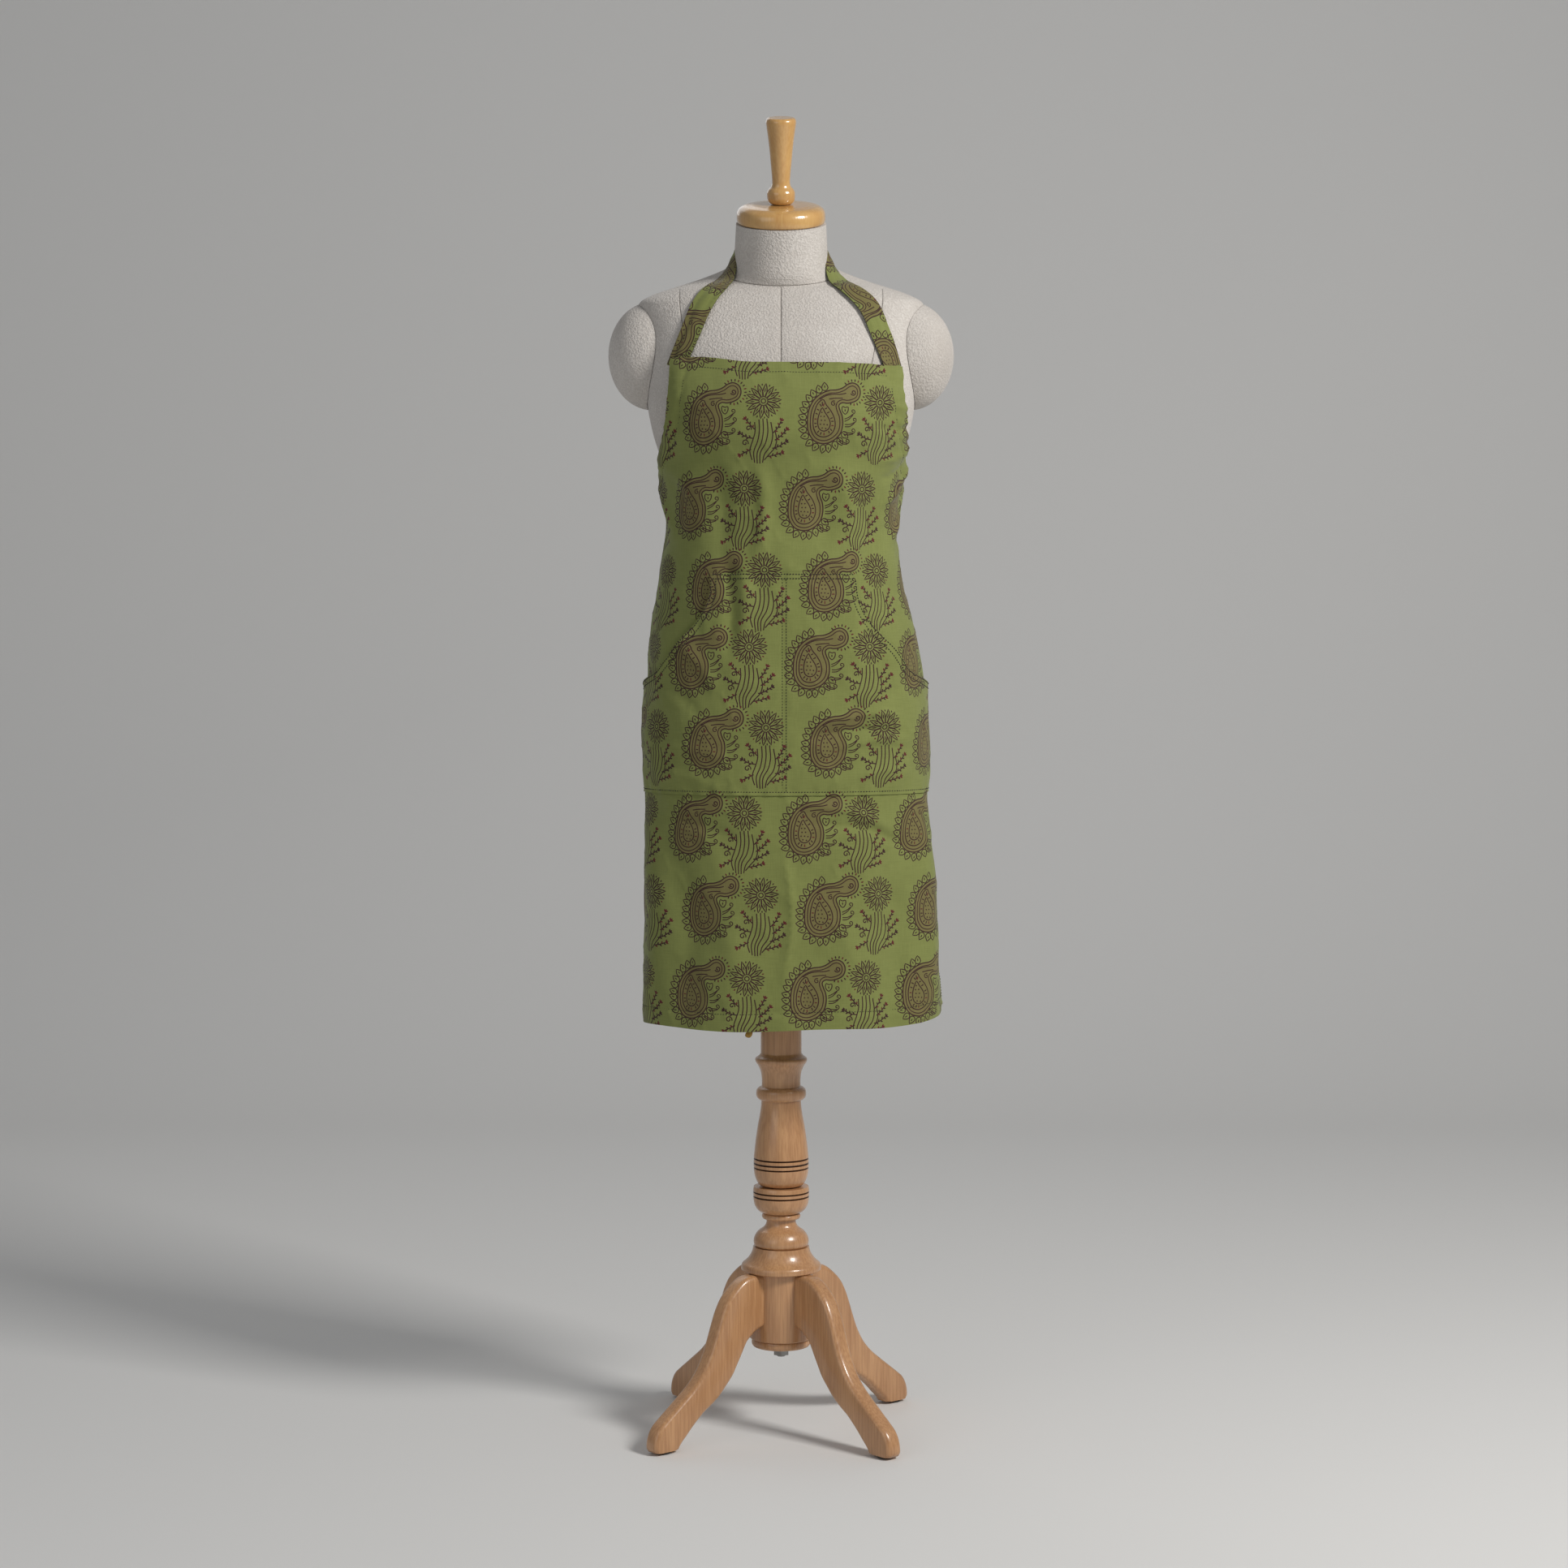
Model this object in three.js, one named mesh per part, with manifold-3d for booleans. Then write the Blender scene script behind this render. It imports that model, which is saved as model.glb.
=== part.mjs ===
// An apron tied on a dress form, which stands on a turned wooden column with four cabriole legs.
// Millimetres, +Z up. The origin is on the floor under the column. The front faces -Y.
import * as THREE from 'three';
import { mergeVertices } from 'three/addons/utils/BufferGeometryUtils.js';
import Module from 'manifold-3d';

const wasm = await Module();
wasm.setup();

// ---------------------------------------------------------------- driving dimensions
const GAP = 0.3; // clearance between touching pieces
const ROUND = 20; // sides of a turned piece
const BOLT_SIDES = 10; // sides of a bolt, rod or bore

// Column, from the floor up
const PAD_THICK = 3;
const PAD_RADIUS = 9;
const HUB_RADIUS = 38;
const HUB_TOP = 189.7;
const HUB_BOTTOM = 108.3;
const DISC_THICK = 10;
const DISC_RADIUS = 35;
const FLANGE_RADIUS = 47.6;
const FLANGE_TOP = 218;
const CUP_TOP = 290;
const COLUMN_TOP = 505;
const SLEEVE_RADIUS = 24.2;
const ROD_RADIUS = 5;
const ROD_TOP = 311;
const NUT_RADIUS = 10;
const NUT_THICK = 8;
const WASHER_THICK = 2;
const WASHER_RADIUS = 14;

// Legs
const LEG_COUNT = 4;
const LEG_THICK = 22;
const LEG_REACH = 162; // hub face to the tip of the foot
const LEG_ROUNDING = 4;
const STAND_TURN = 41; // degrees from +X to the first leg
const LEG_BOLT_RADIUS = 4;
const LEG_BOLT_HEIGHT = 158;
const LEG_BOLT_IN_HUB = 16;
const LEG_BOLT_IN_LEG = 24;

// Pole and its clamp
const POLE_RADIUS = 14;
const POLE_BOTTOM = 342;
const POLE_BORE_BOTTOM = 318;
const POLE_IN_FORM = 195;
const CLAMP_HEIGHT = 484;
const CLAMP_RADIUS = 3;
const INSERT_RADIUS = 5;
const WING_REACH = 16.5;
const WING_THICK = 3.2;

// Dress form
const FORM_BOTTOM = 795; // height of its lower edge above the floor
const FORM_GIRTH = 1; // dress size factor on every width and depth
const FORM_WALL = 6;
const BOARD_THICK = 15;
const BOARD_INSET = 2;
const SOCKET_WALL = 10;
const SOCKET_FLANGE = 48;
const SOCKET_FLANGE_THICK = 9;
const SOCKET_CAP = 10;
const SOCKET_SCREWS = 3;
const SCREW_RADIUS = 2.5;
const SCREW_LENGTH = 19;
const SCREW_CIRCLE = 37;

// Rings of the form: [height over its lower edge, centre y, forward tilt in degrees,
// half width, front depth, back depth, squareness]
const FORM_RINGS = [
  [0, 0, 0, 150, 104, 100, 2.3],
  [45, 0, 0, 152, 107, 104, 2.3],
  [85, 0, 0, 152, 108, 105, 2.3],
  [135, 0, 0, 149, 106, 100, 2.3],
  [180, 0, 0, 141.5, 101, 91, 2.3],
  [225, 0, 0, 133, 96, 80, 2.3],
  [275, 0, 0, 127, 93, 68, 2.3],
  [315, 0, 0, 131, 98, 72, 2.3],
  [350, 0, 0, 139, 110, 78, 2.3],
  [385, 0, 0, 150, 124, 84, 2.3],
  [420, 0, 0, 157, 121, 88, 2.3],
  [460, 0, 0, 160, 104, 90, 2.3],
  [500, 0, 0, 163, 86, 88, 2.3],
  [530, 0, 0, 167, 72, 82, 2.3],
  [541, 0, 1, 165, 66, 76, 2.3],
  [551, 0, 3, 146, 60, 70, 2.2],
  [559, -1, 8, 122, 56, 66, 2.2],
  [567, -3, 16, 92, 54, 62, 2.1],
  [575, -5, 23, 68, 54, 56, 2],
  [587, -9, 23, 56, 56, 56, 2],
  [605, -14, 20, 54, 54, 54, 2],
  [630, -22, 17, 52.5, 52.5, 52.5, 2],
];
const NECK_TILT = 17;
const NECK_Y = -22;
const NECK_HEIGHT = 630;
const NECK_RADIUS = 52.5;
const INNER_DROP = 3; // how much lower the inside of the form lies at each ring

// Neck cap, handle and stud, along the neck's own axis
const CAP_RADIUS = 51.7;
const CAP_THICK = 22;
const PLUG_THICK = 24;
const STUD_RADIUS = 4;
const STUD_IN_HANDLE = 38;
const HANDLE_LENGTH = 99;

// Arm caps
const ARM_CENTRE_HEIGHT = 478;
const ARM_CENTRE_X = 152;
const ARM_CAP_SIZE = [51, 49, 63]; // half sizes in X, Y and Z

// Apron: [height over the form's lower edge, ease left, ease right, ease in front, ease behind]
const APRON_EASE = [
  [-303, 14.5, 43, 23, 12],
  [-202, 14.5, 37, 20, 12],
  [-105, 13.5, 30, 18, 10],
  [-40, 11.5, 26, 16, 9],
  [31, 8, 20.5, 12, 8],
  [96, 6.5, 16, 10, 8],
  [145, 8, 13.5, 11, 8],
  [177, 7.5, 11, 13, 7],
  [210, 8, 7.5, 14.5, 7],
  [258, 10.5, 8.5, 15.5, 6],
  [291, 10, 8.5, 16, 6],
  [323, 8.5, 8.5, 15, 6],
  [356, 8, 8.5, 11, 6],
  [385, 8, 8, 8, 6],
  [420, 8, 8, 8, 6],
  [470, 8, 8, 8, 6],
];
const APRON_SQUARENESS = 2.3;
const CLOTH_THICK = 1.6;
const BIB_TOP = 463;
const HEM_BOTTOM = -303;
const SKIRT_HALF_WIDTH = 285; // along the cloth, from the centre line to the side hem
const SKIRT_TOP = 285; // height where the armhole curve meets the side hem
// Armhole edges along the cloth: [height, left, right]
const ARMHOLE = [
  [BIB_TOP, -108, 150],
  [420, -122, 158],
  [385, -141, 172],
  [370, -155, 181],
  [356, -172, 192],
  [340, -192, 208],
  [325, -214, 226],
  [312, -236, 244],
  [300, -258, 262],
  [291, -273, 275],
  [SKIRT_TOP + 1, -SKIRT_HALF_WIDTH, SKIRT_HALF_WIDTH],
];
const BIB_MIDDLE = [-82, -55, -27, 0, 27, 55, 82, 109, 132]; // further columns
const SKIRT_HEIGHTS = [HEM_BOTTOM, -202, -70, 0, 60, 110, 150, 195, 240, SKIRT_TOP];
const BIB_ROWS = 9;
const CASING_WIDTH = 25;
const CASING_THICK = 2;
const CASING_CLEAR = 2; // behind the panel, past its facets

// Pocket: its hand openings run from the top seam to the side hems: [height, left, right]
// along the cloth
const POCKET_BOTTOM = -33;
const POCKET_EDGE = [
  [222, -82, 88],
  [185, -87, 93],
  [165, -100, 105],
  [151, -112, 117],
  [137, -126, 131],
  [123, -139, 144],
  [110, -155, 161],
  [103, -177, 183],
  [98, -200, 206],
  [94, -226, 232],
  [91, -254, 260],
  [90, -281, 281],
];
const POCKET_ROWS = 7;
const POCKET_MIDDLE = [-60, -36, -12, 12, 38, 64]; // further columns between the openings
const POCKET_THICK = 1.4;
const POCKET_CLEAR = 0.95; // from the panel to the pocket at its seams
const POCKET_LIFT = 4; // how far the empty pocket stands off the panel at its middle

// Strap and ties
const STRAP_WIDTH = 26;
const STRAP_THICK = 2;
const STRAP_LIFT = 2;
const TIE_WIDTH = 22;
const TIE_STEPS = 6;
const TIE_END = 2.4; // how far each tie stops short of the middle, under the knot
const TIE_START = 10; // past the side hem
const TIE_HEIGHT = 292;
const KNOT_SIZE = [12, 8, 13];

// ---------------------------------------------------------------- helpers
const degrees = THREE.MathUtils.degToRad;

/** Interpolates the columns of a table at a key, along its first column. */
function rowAt(table, key) {
  const rising = table[0][0] < table[table.length - 1][0];
  const rows = rising ? table : [...table].reverse();
  if (key <= rows[0][0]) return rows[0];
  for (let i = 1; i < rows.length; i += 1) {
    if (key <= rows[i][0]) {
      const share = (key - rows[i - 1][0]) / (rows[i][0] - rows[i - 1][0]);
      return rows[i - 1].map((value, k) => value + (rows[i][k] - value) * share);
    }
  }
  return rows[rows.length - 1];
}

/** Welds a closed geometry, drops empty triangles and turns its faces outward. */
function closed(source) {
  const bare = source.clone();
  for (const name of Object.keys(bare.attributes)) {
    if (name !== 'position') bare.deleteAttribute(name);
  }
  const welded = mergeVertices(bare, 1e-4);
  const position = welded.attributes.position;
  const index = welded.index.array;
  const faces = [];
  const [a, b, c] = [new THREE.Vector3(), new THREE.Vector3(), new THREE.Vector3()];
  let volume = 0;
  for (let i = 0; i < index.length; i += 3) {
    const corners = [index[i], index[i + 1], index[i + 2]];
    if (new Set(corners).size < 3) continue;
    a.fromBufferAttribute(position, corners[0]);
    b.fromBufferAttribute(position, corners[1]);
    c.fromBufferAttribute(position, corners[2]);
    volume += a.dot(b.cross(c));
    faces.push(corners);
  }
  if (volume < 0) faces.forEach((corners) => corners.reverse());
  const geometry = new THREE.BufferGeometry();
  geometry.setAttribute('position', position.clone());
  geometry.setIndex(faces.flat());
  geometry.computeVertexNormals();
  return geometry;
}

function toSolid(geometry) {
  const clean = closed(geometry);
  const mesh = new wasm.Mesh({
    numProp: 3,
    vertProperties: new Float32Array(clean.attributes.position.array),
    triVerts: new Uint32Array(clean.index.array),
  });
  return new wasm.Manifold(mesh);
}

function toGeometry(solid) {
  const mesh = solid.getMesh();
  const geometry = new THREE.BufferGeometry();
  geometry.setAttribute('position', new THREE.BufferAttribute(new Float32Array(mesh.vertProperties), 3));
  geometry.setIndex(new THREE.BufferAttribute(new Uint32Array(mesh.triVerts), 1));
  return closed(geometry);
}

/** Cuts every tool geometry out of the body. */
function cut(body, ...tools) {
  let solid = toSolid(body);
  for (const tool of tools) solid = solid.subtract(toSolid(tool));
  return toGeometry(solid);
}

function join(...pieces) {
  return toGeometry(pieces.map(toSolid).reduce((whole, piece) => whole.add(piece)));
}

/** A turned piece about Z from [radius, height] points. */
function turned(profile, sides = ROUND) {
  const points = profile.map(([radius, height]) => new THREE.Vector2(radius, height));
  const first = points[0];
  const last = points[points.length - 1];
  if (first.x > 0 || last.x > 0) points.push(first.clone());
  return closed(new THREE.LatheGeometry(points, sides).rotateX(Math.PI / 2));
}

/** A rod between two heights, centred on Z. */
function rod(radius, bottom, top, sides = BOLT_SIDES) {
  return turned([[0, bottom], [radius, bottom], [radius, top], [0, top]], sides);
}

/** A ring between two heights, centred on Z. */
function ring(inner, outer, bottom, top, sides = ROUND) {
  return turned([[inner, bottom], [outer, bottom], [outer, top], [inner, top]], sides);
}

const parts = new THREE.Group();

function add(name, geometry, color, roughness = 0.7, metalness = 0, parent = parts) {
  const material = new THREE.MeshStandardMaterial({ color, roughness, metalness });
  const mesh = new THREE.Mesh(geometry, material);
  mesh.name = name;
  parent.add(mesh);
  return mesh;
}

const WOOD = 0xb98c64;
const PALE_WOOD = 0xcdaa6e;
const STEEL = 0x8f8f8d;
const BRASS = 0xb59a5a;
const FELT = 0xc8c4c0;
const DARK_FELT = 0x4a4642;
const CLOTH = 0x768748;

/** Joins rings of equally many points, an even number, into a closed skin. */
function skin(rings, wrap) {
  const count = rings[0].length;
  const vertices = rings.flat().flatMap((point) => point.toArray());
  const index = [];
  const rows = wrap ? rings.length : rings.length - 1;
  for (let i = 0; i < rows; i += 1) {
    const next = (i + 1) % rings.length;
    for (let j = 0; j < count; j += 1) {
      const k = (j + 1) % count;
      const [a, b, c, d] = [i * count + j, i * count + k, next * count + k, next * count + j];
      index.push(a, b, c, a, c, d);
    }
  }
  // An open row of rings ends in strips between a ring's first half and its second half.
  const end = (rings.length - 1) * count;
  for (let j = 0; !wrap && j < count / 2 - 1; j += 1) {
    const [a, b, c, d] = [j, j + 1, count - 2 - j, count - 1 - j];
    index.push(a, c, b, a, d, c, end + a, end + b, end + c, end + a, end + c, end + d);
  }
  const geometry = new THREE.BufferGeometry();
  geometry.setAttribute('position', new THREE.Float32BufferAttribute(vertices, 3));
  geometry.setIndex(index);
  return closed(geometry);
}

// ---------------------------------------------------------------- stand
const FOOT_HEIGHT = PAD_THICK + GAP;
const FOOT_MIDDLE = 144; // hub face to the middle of the foot's flat
const MODEL_REACH = 162; // reach at which the leg's outline is drawn
const CREST = [
  [20, HUB_TOP], [34, 182], [50, 167.5], [61, 149], [67, 130], [75, 111], [85, 91],
  [101, 73], [121, 57], [141, 42], [155, 32], [160.5, 21], [162, 8],
];
const UNDERSIDE = [
  [121, 10], [107, 23], [89, 38.5], [65, 54], [44, 76], [32, 96], [22, 113], [9, 123],
];
const ROOT_DEPTH = 5;
const ROOT_UNDERSIDE = 127.5;

function legGeometry() {
  const stretch = LEG_REACH / MODEL_REACH;
  const along = (distance) => HUB_RADIUS + distance * stretch;
  const outline = [
    new THREE.Vector2(HUB_RADIUS - ROOT_DEPTH, HUB_TOP),
    ...CREST.map(([distance, height]) => new THREE.Vector2(along(distance), height)),
    new THREE.Vector2(along(MODEL_REACH - 1.5), FOOT_HEIGHT),
    new THREE.Vector2(along(126), FOOT_HEIGHT),
    ...UNDERSIDE.map(([distance, height]) => new THREE.Vector2(along(distance), height)),
    new THREE.Vector2(HUB_RADIUS - ROOT_DEPTH, ROOT_UNDERSIDE),
  ];
  const bevel = LEG_ROUNDING;
  const blank = new THREE.ExtrudeGeometry(new THREE.Shape(outline), {
    depth: LEG_THICK - 2 * bevel,
    bevelEnabled: true,
    bevelThickness: bevel,
    bevelSize: bevel,
    bevelOffset: -bevel,
    bevelSegments: 1,
  });
  blank.translate(0, 0, -LEG_THICK / 2 + bevel).rotateX(Math.PI / 2);
  return cut(blank, rod(HUB_RADIUS + GAP, 0, CUP_TOP, ROUND), radialBore(LEG_BOLT_IN_LEG));
}

/** The bore of a leg bolt, from inside the hub to a depth behind the hub face. */
function radialBore(depth) {
  const start = HUB_RADIUS - LEG_BOLT_IN_HUB - GAP;
  const bore = rod(LEG_BOLT_RADIUS + GAP, start, HUB_RADIUS + depth + GAP);
  return bore.rotateY(Math.PI / 2).translate(0, 0, LEG_BOLT_HEIGHT);
}

const leg = legGeometry();
const pad = rod(PAD_RADIUS, 0, PAD_THICK, 12)
  .translate(HUB_RADIUS + (FOOT_MIDDLE * LEG_REACH) / MODEL_REACH, 0, 0);
const legBolt = rod(LEG_BOLT_RADIUS, HUB_RADIUS - LEG_BOLT_IN_HUB, HUB_RADIUS + LEG_BOLT_IN_LEG)
  .rotateY(Math.PI / 2).translate(0, 0, LEG_BOLT_HEIGHT);
const hubBores = [];
for (let i = 0; i < LEG_COUNT; i += 1) {
  const turn = degrees(STAND_TURN + (i * 360) / LEG_COUNT);
  add(`leg_${i + 1}`, leg, WOOD, 0.35).rotation.z = turn;
  add(`foot_pad_${i + 1}`, pad, DARK_FELT, 0.95).rotation.z = turn;
  add(`leg_bolt_${i + 1}`, legBolt, STEEL, 0.4, 1).rotation.z = turn;
  hubBores.push(radialBore(LEG_BOLT_IN_LEG).rotateZ(turn));
}

const ROD_BORE = ROD_RADIUS + GAP;
const DISC_TOP = HUB_BOTTOM - GAP;
const DISC_BOTTOM = DISC_TOP - DISC_THICK;
const WASHER_TOP = DISC_BOTTOM - GAP;
const WASHER_BOTTOM = WASHER_TOP - WASHER_THICK;
const NUT_TOP = WASHER_BOTTOM - GAP;
const NUT_BOTTOM = NUT_TOP - NUT_THICK;
const ROD_BOTTOM = NUT_BOTTOM - 2;

const hub = ring(ROD_BORE, HUB_RADIUS, HUB_BOTTOM, HUB_TOP).rotateZ(degrees(STAND_TURN));
add('hub_post', cut(hub, ...hubBores), WOOD, 0.35);
add('base_disc', turned([
  [ROD_BORE, DISC_BOTTOM], [DISC_RADIUS - 3, DISC_BOTTOM], [DISC_RADIUS, DISC_BOTTOM + 4],
  [DISC_RADIUS, DISC_TOP - 1], [DISC_RADIUS - 1, DISC_TOP], [ROD_BORE, DISC_TOP],
]), WOOD, 0.35);
add('tie_washer', ring(ROD_BORE, WASHER_RADIUS, WASHER_BOTTOM, WASHER_TOP, 18), STEEL, 0.35, 1);
add('tie_nut', cut(
  rod(NUT_RADIUS, NUT_BOTTOM, NUT_TOP, 6), rod(ROD_BORE, NUT_BOTTOM - 1, NUT_TOP + 1),
), STEEL, 0.35, 1);
add('tie_rod', rod(ROD_RADIUS, ROD_BOTTOM, ROD_TOP), STEEL, 0.4, 1);

const FLANGE_BOTTOM = HUB_TOP + GAP;
add('flange_collar', turned([
  [ROD_BORE, FLANGE_BOTTOM], [FLANGE_RADIUS - 1.5, FLANGE_BOTTOM], [FLANGE_RADIUS, FLANGE_BOTTOM + 3],
  [FLANGE_RADIUS - 0.6, 197], [44, 199.5], [40, 203.3], [35.8, 209.5], [33.3, FLANGE_TOP],
  [ROD_BORE, FLANGE_TOP],
]), WOOD, 0.35);

const CUP_BOTTOM = FLANGE_TOP + GAP;
add('column_cup', turned([
  [ROD_BORE, CUP_BOTTOM], [31, CUP_BOTTOM], [32.7, 224], [31.4, 231], [27.6, 237], [21, 241],
  [17.5, 247], [17.5, 250.5], [22.5, 252], [22.5, 257], [28.8, 262.7], [32.8, 272.4],
  [33.2, 280], [32.9, CUP_TOP], [ROD_BORE, CUP_TOP],
]), WOOD, 0.35);

const POLE_BORE = POLE_RADIUS + GAP;
const INSERT_BORE = INSERT_RADIUS + GAP;
const clampBore = rod(INSERT_BORE, -SLEEVE_RADIUS - 4, -POLE_RADIUS + 1)
  .rotateY(Math.PI / 2).translate(0, 0, CLAMP_HEIGHT);
add('baluster', cut(turned([
  [0, ROD_TOP + 1], [ROD_BORE, ROD_TOP + 1], [ROD_BORE, CUP_TOP + GAP], [21.6, CUP_TOP + GAP],
  [25.9, 292], [30, 299.4], [32.6, 310], [32.8, 318], [31.7, 334], [28, 362.5], [24.4, 383],
  [23.5, 393.5], [28, 395.5], [29.6, 402], [28, 407.5], [23.2, 410], [23.2, 420], [24.4, 429],
  [31, 441], [31, 443.5], [SLEEVE_RADIUS, 449], [SLEEVE_RADIUS, COLUMN_TOP],
  [POLE_BORE, COLUMN_TOP], [POLE_BORE, POLE_BORE_BOTTOM],
  [0, POLE_BORE_BOTTOM],
]), clampBore), WOOD, 0.35);

// ---------------------------------------------------------------- pole and clamp
const BOARD_BOTTOM = FORM_BOTTOM + BOARD_INSET;
const BOARD_TOP = BOARD_BOTTOM + BOARD_THICK;
const SOCKET_BOTTOM = BOARD_TOP + GAP;
const POLE_TOP = BOARD_TOP + POLE_IN_FORM;
add('pole', turned([
  [0, POLE_BOTTOM], [POLE_RADIUS - 1.5, POLE_BOTTOM], [POLE_RADIUS, POLE_BOTTOM + 2],
  [POLE_RADIUS, POLE_TOP], [0, POLE_TOP],
]), WOOD, 0.4);

const clamp = new THREE.Group();
clamp.position.z = CLAMP_HEIGHT;
clamp.rotation.y = -Math.PI / 2; // local +Z points along -X
parts.add(clamp);
const CLAMP_TIP = POLE_RADIUS + GAP;
const INSERT_END = SLEEVE_RADIUS - 0.8;
add('clamp_insert', ring(CLAMP_RADIUS + GAP, INSERT_RADIUS, CLAMP_TIP + 1.2, INSERT_END, 14),
  BRASS, 0.4, 1, clamp);

function wingScrewGeometry() {
  const start = SLEEVE_RADIUS + 1.2;
  const shaft = rod(CLAMP_RADIUS, CLAMP_TIP, start + 1);
  const boss = turned([[0, start], [6, start], [6, start + 3], [4.6, start + 9], [0, start + 9]], 14);
  const outline = new THREE.Shape();
  outline.moveTo(0, start + 1);
  outline.lineTo(5, start + 1);
  outline.quadraticCurveTo(9, start + 7, WING_REACH - 3, start + 9);
  outline.quadraticCurveTo(WING_REACH + 2, start + 13, WING_REACH - 2, start + 17.5);
  outline.quadraticCurveTo(9, start + 17, 5, start + 8);
  outline.lineTo(0, start + 7);
  const plate = new THREE.ExtrudeGeometry(outline, {
    depth: WING_THICK, bevelEnabled: false, curveSegments: 4,
  });
  plate.translate(0, 0, -WING_THICK / 2).rotateX(Math.PI / 2);
  const other = plate.clone().rotateZ(Math.PI);
  return join(shaft, boss, plate, other);
}
add('wing_screw', wingScrewGeometry(), BRASS, 0.4, 1, clamp);

// ---------------------------------------------------------------- dress form
/** A point of a rounded outline: angle 0 is the front, 90 degrees is +X. */
function outlinePoint(angle, left, right, front, back, squareness) {
  const side = Math.sin(angle);
  const ahead = Math.cos(angle);
  const power = 2 / squareness;
  const x = Math.sign(side) * (side > 0 ? right : left) * Math.abs(side) ** power;
  const y = -Math.sign(ahead) * (ahead > 0 ? front : back) * Math.abs(ahead) ** power;
  return new THREE.Vector2(x, y);
}

/** A point on the form's skin at a ring number (may be a fraction) and an angle. */
function formPoint(number, angle, inset = 0, drop = 0) {
  const low = Math.min(Math.floor(number), FORM_RINGS.length - 2);
  const ends = [low, low + 1].map((i) => {
    const [height, centre, tilt, width, front, back, squareness] = FORM_RINGS[i];
    const grow = FORM_GIRTH;
    const at = outlinePoint(
      angle, width * grow - inset, width * grow - inset,
      front * grow - inset, back * grow - inset, squareness,
    );
    const lean = degrees(tilt);
    return new THREE.Vector3(
      at.x, centre + at.y * Math.cos(lean), FORM_BOTTOM + height - drop + at.y * Math.sin(lean),
    );
  });
  return ends[0].lerp(ends[1], number - low);
}

const FORM_SIDES = 24;
const INNER_RINGS = [0, 2, 4, 6, 8, 9, 11, 13, 14, 15, 17, 19, 21];

function formRing(number, inset = 0, drop = 0) {
  return Array.from({ length: FORM_SIDES }, (_, j) => {
    return formPoint(number, (j * 2 * Math.PI) / FORM_SIDES, inset, drop);
  });
}

const outerRings = FORM_RINGS.map((_, i) => formRing(i));
const innerRings = INNER_RINGS.map((i) => {
  const atEnd = i === 0 || i === FORM_RINGS.length - 1;
  return formRing(i, FORM_WALL, atEnd ? 0 : INNER_DROP);
});
add('torso_shell', skin([...outerRings, ...innerRings.reverse()], true), FELT, 0.95);

const armTool = skin(FORM_RINGS.map((_, i) => formRing(i, -GAP)), false);
for (const [side, sign] of [['left', -1], ['right', 1]]) {
  const ball = new THREE.SphereGeometry(1, 16, 12).scale(...ARM_CAP_SIZE)
    .translate(sign * ARM_CENTRE_X * FORM_GIRTH, 0, FORM_BOTTOM + ARM_CENTRE_HEIGHT);
  add(`arm_cap_${side}`, cut(ball, armTool), FELT, 0.95);
}

const SCREW_BORE = SCREW_RADIUS + GAP;
const SCREW_TOP = SOCKET_BOTTOM + SOCKET_FLANGE_THICK;
const screwAngles = Array.from({ length: SOCKET_SCREWS }, (_, i) => (i * 2 * Math.PI) / SOCKET_SCREWS);
const screwBores = screwAngles.map((angle) => {
  return rod(SCREW_BORE, SCREW_TOP - SCREW_LENGTH - GAP, SCREW_TOP + 1)
    .translate(SCREW_CIRCLE, 0, 0).rotateZ(angle);
});

function boardGeometry() {
  const outline = formRing(0, FORM_WALL + GAP + 0.4).map((point) => new THREE.Vector2(point.x, point.y));
  const blank = new THREE.ExtrudeGeometry(new THREE.Shape(outline), {
    depth: BOARD_THICK, bevelEnabled: false,
  }).translate(0, 0, BOARD_BOTTOM);
  return cut(blank, rod(POLE_BORE, BOARD_BOTTOM - 1, BOARD_TOP + 1, ROUND), ...screwBores);
}
add('base_board', boardGeometry(), PALE_WOOD, 0.6);

const SOCKET_RADIUS = POLE_BORE + SOCKET_WALL;
add('pole_socket', cut(turned([
  [0, POLE_TOP + GAP], [POLE_BORE, POLE_TOP + GAP], [POLE_BORE, SOCKET_BOTTOM],
  [SOCKET_FLANGE, SOCKET_BOTTOM], [SOCKET_FLANGE, SCREW_TOP], [SOCKET_RADIUS + 2, SCREW_TOP],
  [SOCKET_RADIUS, SCREW_TOP + 2], [SOCKET_RADIUS, POLE_TOP + SOCKET_CAP],
  [0, POLE_TOP + SOCKET_CAP],
]), ...screwBores), PALE_WOOD, 0.6);

screwAngles.forEach((angle, i) => {
  const screw = turned([
    [0, SCREW_TOP - SCREW_LENGTH], [SCREW_RADIUS, SCREW_TOP - SCREW_LENGTH + 3],
    [SCREW_RADIUS, SCREW_TOP + GAP], [4.6, SCREW_TOP + GAP], [4.2, SCREW_TOP + 2], [0, SCREW_TOP + 2.8],
  ], BOLT_SIDES).translate(SCREW_CIRCLE, 0, 0);
  add(`socket_screw_${i + 1}`, screw, STEEL, 0.35, 1).rotation.z = angle;
});

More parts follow.
